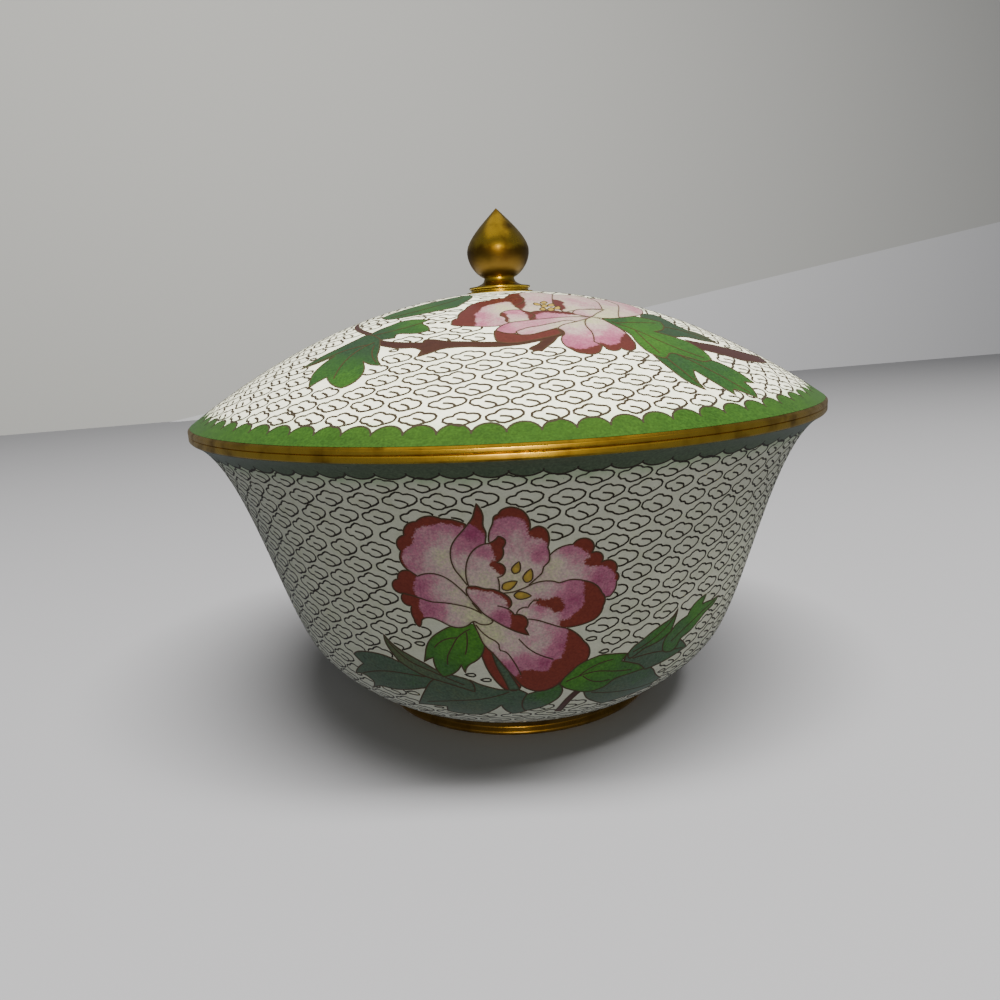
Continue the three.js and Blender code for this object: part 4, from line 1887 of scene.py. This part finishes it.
def plain(name: str, **sockets) -> tuple[bpy.types.Material, Graph, bpy.types.Node]:
    """Starts a material with a Principled shader.

    Args:
        name: Its name.
        **sockets: Values of the shader's sockets, with underscores for spaces.

    Returns:
        The material, its graph and its shader.
    """
    material = bpy.data.materials.new(name)
    material.use_nodes = True
    shader = material.node_tree.nodes["Principled BSDF"]
    for label, value in sockets.items():
        shader.inputs[label.replace("_", " ")].default_value = value
    return material, Graph(material.node_tree), shader


def finish_enamel(graph: Graph, shader: bpy.types.Node, fired: bpy.types.Node) -> None:
    """Joins the enamel group to a shader.

    Args:
        graph: Graph of the material.
        shader: Its shader.
        fired: Node of the enamel group.
    """
    links = graph.tree.links
    links.new(fired.outputs["Colour"], shader.inputs["Base Color"])
    links.new(fired.outputs["Roughness"], shader.inputs["Roughness"])
    height = fired.outputs["Height"]
    bump = graph.add("ShaderNodeBump", {"Strength": 0.25, "Distance": 0.00004, "Height": height})
    links.new(bump.outputs["Normal"], shader.inputs["Normal"])
    shader.inputs["IOR"].default_value = 1.52
    shader.inputs["Specular IOR Level"].default_value = 0.25


@dataclass(frozen=True)
class Ground:
    """White outer enamel with a turquoise lining, in one material of a vessel's skin."""

    name: str
    white: Shade = (0.86, 0.86, 0.67)
    halo: Shade = (0.50, 0.66, 0.38)
    lining: Shade = (0.02, 0.27, 0.32)

    def make(self, groups: Groups) -> bpy.types.Material:
        """Makes the material.

        The first part of the value "ground" is 1 on the lining, and the second part is the strength of the
        green halo beside the border.

        Args:
            groups: Shared node groups.

        Returns:
            The material.
        """
        material, graph, shader = plain(self.name)
        ground = graph.add("ShaderNodeAttribute", attribute_name="ground").outputs["Vector"]
        parts = graph.add("ShaderNodeSeparateXYZ", {0: ground})
        where = graph.millimetres()
        patch = graph.noise(where, 0.35, 3.0)
        white = graph.blend(graph.step(patch, 0.45, 0.75), self.white, (0.80, 0.81, 0.60))
        halo = graph.math("MULTIPLY", parts.outputs[1], graph.math("MULTIPLY", patch, 1.2), clamp=True)
        colour = graph.blend(halo, white, self.halo)
        colour = graph.blend(graph.step(parts.outputs[0], 0.4, 0.6), colour, self.lining)
        fired = graph.add("ShaderNodeGroup", node_tree=groups.enamel)
        fired.inputs["Grain"].default_value = 0.28
        fired.inputs["Specks"].default_value = 0.55
        graph.link(colour, fired.inputs["Colour"])
        finish_enamel(graph, shader, fired)
        return material


@dataclass(frozen=True)
class Metal:
    """Brass finish."""

    name: str
    bright: Shade
    tarnish: Shade
    amount: float
    below: float = 0.0

    def make(self, groups: Groups) -> bpy.types.Material:
        """Makes the material.

        In a band under the height "below", in millimetres, more tarnish colour is laid on as painted shade,
        darkening the lower bud where it mirrors the lit lid.

        Args:
            groups: Shared node groups.

        Returns:
            The material.
        """
        material, graph, shader = plain(self.name, Metallic=1.0)
        worn = graph.add("ShaderNodeGroup", node_tree=groups.brass)
        worn.inputs["Bright"].default_value = rgba(self.bright)
        worn.inputs["Tarnish"].default_value = rgba(self.tarnish)
        worn.inputs["Amount"].default_value = self.amount
        if self.below:
            # Painted shade: the band raises the tarnish amount over the lower bud.
            height = graph.add("ShaderNodeSeparateXYZ", {0: graph.millimetres()}).outputs[2]
            band = graph.math("MULTIPLY", graph.step(height, self.below, self.below - 5), 0.55)
            more = graph.math("MULTIPLY", band, graph.step(height, self.below - 8.4, self.below - 7.4))
            graph.link(graph.math("ADD", more, self.amount), worn.inputs["Amount"])
        links = graph.tree.links
        links.new(worn.outputs["Colour"], shader.inputs["Base Color"])
        links.new(worn.outputs["Roughness"], shader.inputs["Roughness"])
        scratches = worn.outputs["Height"]
        bump = graph.add("ShaderNodeBump", {"Strength": 0.12, "Distance": 0.00002, "Height": scratches})
        links.new(bump.outputs["Normal"], shader.inputs["Normal"])
        return material


class Palette:
    """All finishes of the part."""

    def __init__(self) -> None:
        """Makes the materials."""
        groups = Groups()
        self.ground = Ground("white enamel").make(groups)
        # The bowl's and the lid's sprays are copies of one enamel whose brightness is painted light: the
        # lid's are darkened against its stronger light, and the bowl's are kept bright against its shade.
        self.cells = {
            "bowl": self.sprays("bowl", groups, 1.0, 1.0, (0.29, 0.055, 0.034)),
            "lid": self.sprays("lid", groups, 0.44, 0.26, (0.062, 0.015, 0.012)),
        }
        # The border green is one enamel in two copies as painted light: the bowl's is greyer, standing in for
        # the shade and sheen under its rim, and the lid's is darker against its stronger light.
        greens = {
            "bowl": ((0.0, (0.125, 0.17, 0.095)), (0.4, (0.095, 0.135, 0.075)), (1.0, (0.06, 0.09, 0.055))),
            "lid": (
                (0.0, (0.026, 0.070, 0.0085)), (0.4, (0.016, 0.046, 0.007)), (1.0, (0.009, 0.026, 0.005))
            ),
        }
        self.border = {
            part: Glaze(f"{part} border enamel", stops, 1.3, 1.0, 0.9, edge=0.15).make(groups)
            for part, stops in greens.items()
        }
        # Painted reflection: the wires' near-black brown, far darker than their brass, stands in for the dim
        # surroundings that the polished wire mirrors.
        self.wire = plain("dark wire", Base_Color=(0.045, 0.035, 0.024, 1), Metallic=0.3, Roughness=0.5)[0]
        # The spray wires' brown comes in two copies as painted light: the lid's is darker, against the lid's
        # stronger light.
        self.vein = {
            part: plain(f"{part} brown wire", Base_Color=(*shade, 1), Metallic=0.3, Roughness=0.5)[0]
            for part, shade in (("bowl", (0.10, 0.06, 0.032)), ("lid", (0.055, 0.034, 0.017)))
        }
        self.rims = Metal("rim brass", (0.60, 0.39, 0.05), (0.20, 0.115, 0.02), 0.44).make(groups)
        # Painted shade: the foot ring's brass is about a quarter as bright as the rim's, for its place in the
        # shade under the bowl.
        self.foot = Metal("foot brass", (0.155, 0.09, 0.022), (0.062, 0.036, 0.01), 0.5).make(groups)
        # Painted shade: the lower bud, up to 112.5 mm, gets extra tarnish colour.
        knob = Metal("finial brass", (0.50, 0.345, 0.045), (0.115, 0.068, 0.015), 0.42, 112.5)
        self.finial = knob.make(groups)

    @staticmethod
    def sprays(
        part: str, groups: Groups, pale: float, dark: float, deep: Shade
    ) -> dict[Kind, bpy.types.Material]:
        """Makes the finishes of one vessel's spray.

        Args:
            part: "bowl" or "lid".
            groups: Shared node groups.
            pale: Brightness of its petals and stamens, set per vessel as painted light.
            dark: Brightness of its leaves and branches, set per vessel as painted light.
            deep: Its deep red, much darker on the lid as painted shade against its stronger light.

        Returns:
            A material for each kind of cell.
        """
        petal_stops = (
            (0.0, (0.78, 0.76, 0.44)), (0.3, (0.78, 0.58, 0.52)),
            (0.62, (0.66, 0.25, 0.34)), (1.0, (0.45, 0.085, 0.19)),
        )
        # Painted sheen: the bowl's leaf stops end in greyer blue-green and olive than the lid's, standing in
        # for the bright table mirrored on its dark leaves.
        leaf_stops = {
            "bowl": (
                (0.0, (0.11, 0.33, 0.035)), (0.33, (0.075, 0.21, 0.045)),
                (0.67, (0.105, 0.165, 0.105)), (1.0, (0.15, 0.18, 0.08)),
            ),
            "lid": (
                (0.0, (0.11, 0.33, 0.035)), (0.33, (0.065, 0.20, 0.04)),
                (0.67, (0.055, 0.13, 0.055)), (1.0, (0.11, 0.14, 0.065)),
            ),
        }[part]
        branch_stops = ((0.0, (0.15, 0.055, 0.04)), (0.5, (0.11, 0.042, 0.032)), (1.0, (0.06, 0.026, 0.02)))
        stamen_stops = ((0.0, (0.80, 0.55, 0.10)), (1.0, (0.50, 0.31, 0.04)))
        glazes = {
            Kind.PETAL: Glaze(f"{part} petal enamel", petal_stops, 0.9, 0.9, 0.8, deep, 0.3, pale),
            Kind.LEAF: Glaze(f"{part} leaf enamel", leaf_stops, 1.4, 0.8, 0.6, deep, 0.3, dark),
            Kind.BRANCH: Glaze(f"{part} branch enamel", branch_stops, 0.8, 0.8, 0.5, deep, 0.3, dark),
            Kind.STAMEN: Glaze(f"{part} stamen enamel", stamen_stops, 0.4, 0.3, 0.4, deep, 0.3, pale),
        }
        return {kind: glaze.make(groups) for kind, glaze in glazes.items()}


# The part


@dataclass(frozen=True)
class Foot:
    """Brass foot ring with a small lip on the table."""

    radius: float = 36.0
    height: float = 3.5
    wall: float = 1.8
    lip_height: float = 0.7
    lip_reach: float = 0.9
    top_reach: float = 0.4

    def build(self, palette: Palette) -> None:
        """Makes the ring.

        Args:
            palette: The finishes.
        """
        waist = self.radius - self.lip_reach
        inner = waist - self.wall
        section = np.array(
            [
                (inner, 0),
                (self.radius, 0),
                (self.radius, self.lip_height),
                (waist, self.lip_height + self.lip_reach),
                (waist + self.top_reach, self.height),
                (inner, self.height),
            ]
        )
        ring = turned(rounded(section, 0.25), 256).piece("foot_ring_turned", palette.foot)
        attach(ring, "root")
        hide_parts("foot_ring")


@dataclass(frozen=True)
class BowlShape:
    """Sizes of the bowl and its brass band."""

    rim_radius: float = 76.0
    height: float = 72.2
    wall: float = 2.0
    foot_edge: tuple[float, float] = (35.5, 3.5)
    underside_slope: float = 14.5
    knee: tuple[float, float] = (54.4, 20.0)
    knee_lean: float = 25.4
    flare_lean: float = 63.0
    floor_rise: float = 0.4
    ledge_radius: float = 32.5
    band: float = 1.4
    band_reach: float = 0.3
    band_land: float = 1.8
    edge_break: float = 0.2

    @property
    def band_seat(self) -> float:
        """Height where the brass band starts."""
        return self.height - self.band

    def skin(self) -> Skin:
        """Outer face from the foot to the brass band.

        Returns:
            The skin.
        """
        edge = (self.rim_radius - self.band_reach, self.band_seat)
        knee_rise = rising(90 - self.knee_lean)
        belly = sweep(self.foot_edge, rising(self.underside_slope), 0.24, self.knee, knee_rise, 0.32, 300)
        flare = sweep(self.knee, knee_rise, 0.29, edge, rising(90 - self.flare_lean), 0.2, 500)
        return Skin(np.vstack([belly, flare[1:]]))

    def body(self, skin: Skin) -> Sheet:
        """Turns the closed wall with its floor.

        Args:
            skin: The outer face.

        Returns:
            The mesh with the value "ground".
        """
        outer = skin.even(0.9)
        inner = skin.other_face(1.6, self.wall)
        inner = inner[inner[:, 1] < self.band_seat][::-1]
        mouth = np.array([[inner[0, 0], self.band_seat]])
        floor_low = self.foot_edge[1] + self.floor_rise
        under = np.linspace((0, floor_low), (self.ledge_radius, self.foot_edge[1]), 12)
        floor = np.linspace(inner[-1], (0, floor_low + self.wall), 12)[1:]
        section = np.vstack([under, outer, mouth, inner, floor])
        values = np.zeros((len(section), 3))
        lining = len(under) + len(outer)
        values[lining:, 0] = 1
        values[:len(under), 0] = 1
        reach = np.linspace(0, skin.length, len(outer))
        values[len(under):lining, 1] = np.clip(1 - (76.4 - reach) / 2.2, 0, 1)
        return turned(section, 240, "ground", values)

    def rim(self, skin: Skin) -> np.ndarray:
        """Section of the brass band on the mouth.

        Args:
            skin: The outer face.

        Returns:
            Its corners.
        """
        inner = skin.other_face(0.5, self.wall)
        seat = float(np.interp(self.band_seat, inner[-40:, 1], inner[-40:, 0]))
        return np.array(
            [
                (seat, self.band_seat),
                (self.rim_radius - self.band_reach, self.band_seat),
                (self.rim_radius, self.band_seat + self.band_reach),
                (self.rim_radius, self.height - self.edge_break),
                (self.rim_radius - self.edge_break, self.height),
                (self.rim_radius - self.edge_break - self.band_land, self.height),
            ]
        )


@dataclass(frozen=True)
class LidShape:
    """Sizes of the lid, its brass band and its finial."""

    rim_radius: float = 76.0
    seat: float = 72.2
    wall: float = 2.0
    band: float = 1.4
    band_bevel: float = 0.5
    lip_depth: float = 3.0
    lip_inner: float = 69.28
    lip_outer: float = 70.48
    edge_break: float = 0.2
    dome_rise: float = 28.5
    dome_slope: float = 35.6
    collar_radius: float = 8.25
    collar_height: float = 0.5
    flange_radius: float = 7.55
    flange_height: float = 1.4
    flange_groove: float = 0.45
    neck_radius: float = 3.7
    neck_height: float = 1.9
    bud_radius: float = 7.6
    bud_height: float = 16.34
    bud_widest: float = 6.1

    @property
    def edge_height(self) -> float:
        """Height of the dome's edge on the band."""
        return self.seat + self.band

    def skin(self) -> Skin:
        """Outer face from the brass band to the crown.

        Returns:
            The skin.
        """
        edge = (self.rim_radius - self.band_bevel, self.edge_height)
        crown = (0.0, self.seat + self.dome_rise)
        return Skin(sweep(edge, rising(self.dome_slope, -1), 0.32, crown, (-1, 0), 0.36, 900))

    def finial_seat(self, skin: Skin) -> float:
        """Height of the dome under the collar's edge.

        Args:
            skin: The outer face.

        Returns:
            The height.
        """
        return float(np.interp(self.collar_radius, skin.curve[::-1, 0], skin.curve[::-1, 1]))

    def body(self, skin: Skin) -> Sheet:
        """Turns the closed wall of the lid.

        Args:
            skin: The outer face.

        Returns:
            The mesh with the value "ground".
        """
        outer = skin.even(0.9)
        outer = outer[outer[:, 0] > self.collar_radius]
        inner = skin.other_face(1.6, self.wall)
        inner = inner[(inner[:, 1] > self.edge_height) & (inner[:, 0] > self.collar_radius / 2)][::-1]
        lowest = skin.other_face(0.3, self.wall)
        inner_edge = float(np.interp(self.edge_height, lowest[:40, 1], lowest[:40, 0]))
        foot = np.array([[inner_edge, self.edge_height]])
        seat = self.finial_seat(skin)
        top = np.array([[self.collar_radius, seat], [0, seat]])
        under = np.array([[0, self.seat + self.dome_rise - self.wall]])
        section = np.vstack([under, inner, foot, outer, top])
        values = np.zeros((len(section), 3))
        lining = 1 + len(inner) + 1
        values[:lining, 0] = 1
        reach = np.arange(len(outer)) * skin.length / int(math.ceil(skin.length / 0.9))
        values[lining:lining + len(outer), 1] = np.clip(1 - (reach - 4.6) / 2.2, 0, 1)
        return turned(section, 240, "ground", values)

    def rim(self) -> np.ndarray:
        """Section of the brass band with the lip that sits in the mouth.

        Returns:
            Its corners.
        """
        low = self.seat - self.lip_depth
        return np.array(
            [
                (self.lip_inner, low),
                (self.lip_outer - self.edge_break, low),
                (self.lip_outer, low + self.edge_break),
                (self.lip_outer, self.seat),
                (self.rim_radius - self.edge_break, self.seat),
                (self.rim_radius, self.seat + self.edge_break),
                (self.rim_radius, self.edge_height - self.band_bevel),
                (self.rim_radius - self.band_bevel, self.edge_height),
                (self.lip_inner, self.edge_height),
            ]
        )

    def finial(self, skin: Skin) -> np.ndarray:
        """Section of the finial: collar, grooved flange, neck and pointed bud.

        Args:
            skin: The outer face.

        Returns:
            Its points from the axis below to the tip.
        """
        seat = self.finial_seat(skin)
        top = seat + self.collar_height
        flange_top = top + self.flange_height
        base = flange_top + self.neck_height
        groove = self.flange_radius - self.flange_groove
        shoulder = self.neck_radius + (self.flange_radius - self.neck_radius) * 0.5
        turned_part = np.array(
            [
                (self.collar_radius, seat),
                (self.collar_radius, top - self.collar_height / 3),
                (groove, top),
                (groove, top + self.flange_height * 0.3),
                (self.flange_radius, top + self.flange_height * 0.5),
                (self.flange_radius, flange_top - self.flange_height * 0.2),
                (shoulder, flange_top),
            ]
        )
        soft = rounded(turned_part, 0.12, 3)[2:-2]
        neck_top = (self.neck_radius, base)
        neck = sweep((shoulder, flange_top), rising(30, -1), 0.3, neck_top, (0, 1), 0.5, 12)[1:-1]
        widest = (self.bud_radius, base + self.bud_widest)
        lower = sweep((self.neck_radius, base), rising(23), 0.28, widest, (0, 1), 0.39, 24)
        upper = sweep(widest, (0, 1), 0.24, (0, base + self.bud_height), rising(45, -1), 0.37, 36)
        return np.vstack([[(0, seat)], soft, neck, lower, upper[1:]])


class LiddedBowl:
    """The whole part in its finishes."""

    WIRE = Wire(width=0.29)
    BOWL_CLOUD = Wire(width=0.38, proud=0.035, depth=0.2)
    LID_CLOUD = Wire(width=0.5, proud=0.035, depth=0.2)
    ARCH = Wire(width=0.36, proud=0.035, depth=0.2)

    def __init__(self, palette: Palette) -> None:
        """Keeps the finishes and sizes.

        Args:
            palette: The finishes.
        """
        self.palette = palette
        self.foot = Foot()
        self.bowl = BowlShape()
        self.lid = LidShape()

    def build(self) -> None:
        """Makes every piece."""
        self.foot.build(self.palette)
        skin = self.bowl.skin()
        self.own(self.bowl.body(skin).piece("bowl_skin", self.palette.ground), "bowl_body", "bowl_enamel")
        band = turned(rounded(self.bowl.rim(skin), 0.15), 320)
        self.own(band.piece("bowl_rim_turned", self.palette.rims), "bowl_rim", "rim_brass")
        self.decorate(
            "bowl",
            Spray(bowl_cells(), self.WIRE),
            [Spot(skin, 0, 50), Spot(skin, 180, 50)],
            Border(skin, skin.length, 77.7, 76.6, 0.6, self.ARCH),
            Clouds(skin, 4.12, 76, 3.74, 7.3, 0.97, self.BOWL_CLOUD, SEED),
        )
        dome = self.lid.skin()
        self.own(self.lid.body(dome).piece("lid_skin", self.palette.ground), "lid_body", "lid_enamel")
        band = turned(rounded(self.lid.rim(), 0.15), 320)
        self.own(band.piece("lid_rim_turned", self.palette.rims), "lid_rim", "rim_brass")
        knob = turned(self.lid.finial(dome), 128)
        self.own(knob.piece("finial_turned", self.palette.finial, 28), "finial", "finial_brass")
        self.decorate(
            "lid",
            Spray(lid_cells(), self.WIRE),
            [Spot(dome, 10, 38), Spot(dome, 190, 38)],
            Border(dome, 0.0, 3.1, 5.1, 0.5, self.ARCH),
            Clouds(dome, 6.8, 71, 3.8, 7.3, 0.98, self.LID_CLOUD, SEED + 1),
        )

    def decorate(self, part: str, spray: Spray, spots: list[Spot], border: Border, clouds: Clouds) -> None:
        """Lays sprays, border and clouds on one vessel.

        Args:
            part: "bowl" or "lid".
            spray: The spray.
            spots: Where it is laid.
            border: The scalloped border.
            clouds: The cloud field.
        """
        node, slot = f"{part}_body", f"{part}_enamel"
        for kind in Kind:
            inlays = spray.inlays(spots, kind)
            if inlays is not None:
                self.own(inlays.piece(f"{part}_{kind.value}", self.palette.cells[part][kind]), node, slot)
        self.own(spray.wiring(spots).piece(f"{part}_spray_wires", self.palette.vein[part]), node, slot)
        self.own(border.ring().piece(f"{part}_border", self.palette.border[part]), node, slot)
        self.own(border.arches().piece(f"{part}_border_wires", self.palette.wire), node, slot)
        field = clouds.field([(spray, spot) for spot in spots])
        self.own(field.piece(f"{part}_cloud_wires", self.palette.wire), node, slot)

    @staticmethod
    def own(made: bpy.types.Object, node: str, slot: str) -> None:
        """Attaches a piece to the root and hides the node that it replaces.

        Args:
            made: The piece.
            node: Node that it replaces.
            slot: Not used.
        """
        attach(made, "root")
        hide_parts(node)


# Surroundings


class Studio:
    """Camera, table, wall and soft lights."""

    PLACE = (0.0, -0.19341, 0.09050)
    RIGHT = (0.99873, 0.00254, -0.05029)
    UP = (0.04855, 0.21586, 0.97522)
    FORWARD = (-0.01333, 0.97642, -0.21546)

    def camera(self) -> None:
        """Sets the camera at the photograph's place."""
        data = bpy.data.cameras.new("camera")
        data.lens = 27
        data.sensor_width = 36
        data.clip_start = 0.005
        made = bpy.data.objects.new("camera", data)
        back = [-value for value in self.FORWARD]
        turn = Matrix([self.RIGHT, self.UP, back]).transposed().to_4x4()
        made.matrix_world = Matrix.Translation(self.PLACE) @ turn
        bpy.context.scene.collection.objects.link(made)
        bpy.context.scene.camera = made

    @staticmethod
    def backdrop() -> None:
        """Makes the pale table and the wall behind it.

        The wall stands upright on a straight line on the table that runs back towards the right.
        """
        table = bpy.data.meshes.new("table")
        table.from_pydata([(-4, -3, 0), (4, -3, 0), (4, 9, 0), (-4, 9, 0)], [], [(0, 1, 2, 3)])
        wall = bpy.data.meshes.new("wall")
        wall.from_pydata([(-3, -0.25, 0), (3, 2.2, 0), (3, 2.2, 3), (-3, -0.25, 3)], [], [(3, 2, 1, 0)])
        sheet = bpy.data.meshes.new("sheet")
        sheet.from_pydata([(-0.44, 0.785, 0), (3, 2.19, 0), (3, 2.19, 0.618)], [], [(2, 1, 0)])
        shades = ((table, (0.262, 0.262, 0.272)), (sheet, (0.57, 0.57, 0.58)), (wall, (0.455, 0.455, 0.435)))
        for mesh, shade in shades:
            mesh.materials.append(plain(mesh.name, Base_Color=(*shade, 1), Roughness=0.7)[0])
            made = bpy.data.objects.new(mesh.name, mesh)
            made.visible_diffuse = made.visible_glossy = False
            bpy.context.scene.collection.objects.link(made)

    @staticmethod
    def light(
        name: str, place: Shade, size: tuple[float, float], power: float, mirrored: bool, level: bool = False
    ) -> None:
        """Adds a soft light.

        Args:
            name: Its name.
            place: Where it hangs.
            size: Its width and depth.
            power: Its power in watts.
            mirrored: True for a light that is only mirrored, and False for one that only shines.
            level: True for a light that hangs level, and False for one that points at the part.
        """
        data = bpy.data.lights.new(name, "AREA")
        data.shape = "RECTANGLE"
        data.size, data.size_y = size
        data.energy = power
        data.color = (1.0, 0.82, 0.30) if mirrored else (1.0, 0.985, 0.96)
        made = bpy.data.objects.new(name, data)
        made.location = place
        made.visible_glossy, made.visible_diffuse = mirrored, not mirrored
        if not level:
            made.rotation_euler = (Vector((0, 0, 0.07)) - Vector(place)).to_track_quat("-Z", "Y").to_euler()
        bpy.context.scene.collection.objects.link(made)

    def build(self) -> None:
        """Sets up everything around the part."""
        self.camera()
        self.backdrop()
        self.light("key", (0.18, -0.34, 1.3), (1.15, 0.22), 68.0, False, True)
        self.light("fill", (0.35, -0.9, 0.35), (0.2, 0.2), 1.5, False)
        self.light("glint", (0.01, -0.95, 0.33), (0.05, 0.36), 7.0, True)
        self.light("low glint", (0.04, -0.6, 0.03), (0.2, 0.1), 0.18, True)
        self.light("room", (0.0, -1.5, 0.8), (4.0, 1.2), 5.0, True)
        self.light("ceiling", (0.0, 0.3, 1.6), (1.6, 1.6), 5.0, True, True)
        world = bpy.data.worlds.new("room")
        world.use_nodes = True
        back = world.node_tree.nodes["Background"]
        back.inputs["Color"].default_value = (0.90, 0.93, 1.0, 1)
        back.inputs["Strength"].default_value = 0.205
        bpy.context.scene.world = world


def main() -> None:
    """Builds the scene over the loaded frame."""
    logging.basicConfig(level=logging.INFO)
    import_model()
    LiddedBowl(Palette()).build()
    Studio().build()


if __name__ == "__main__":
    main()
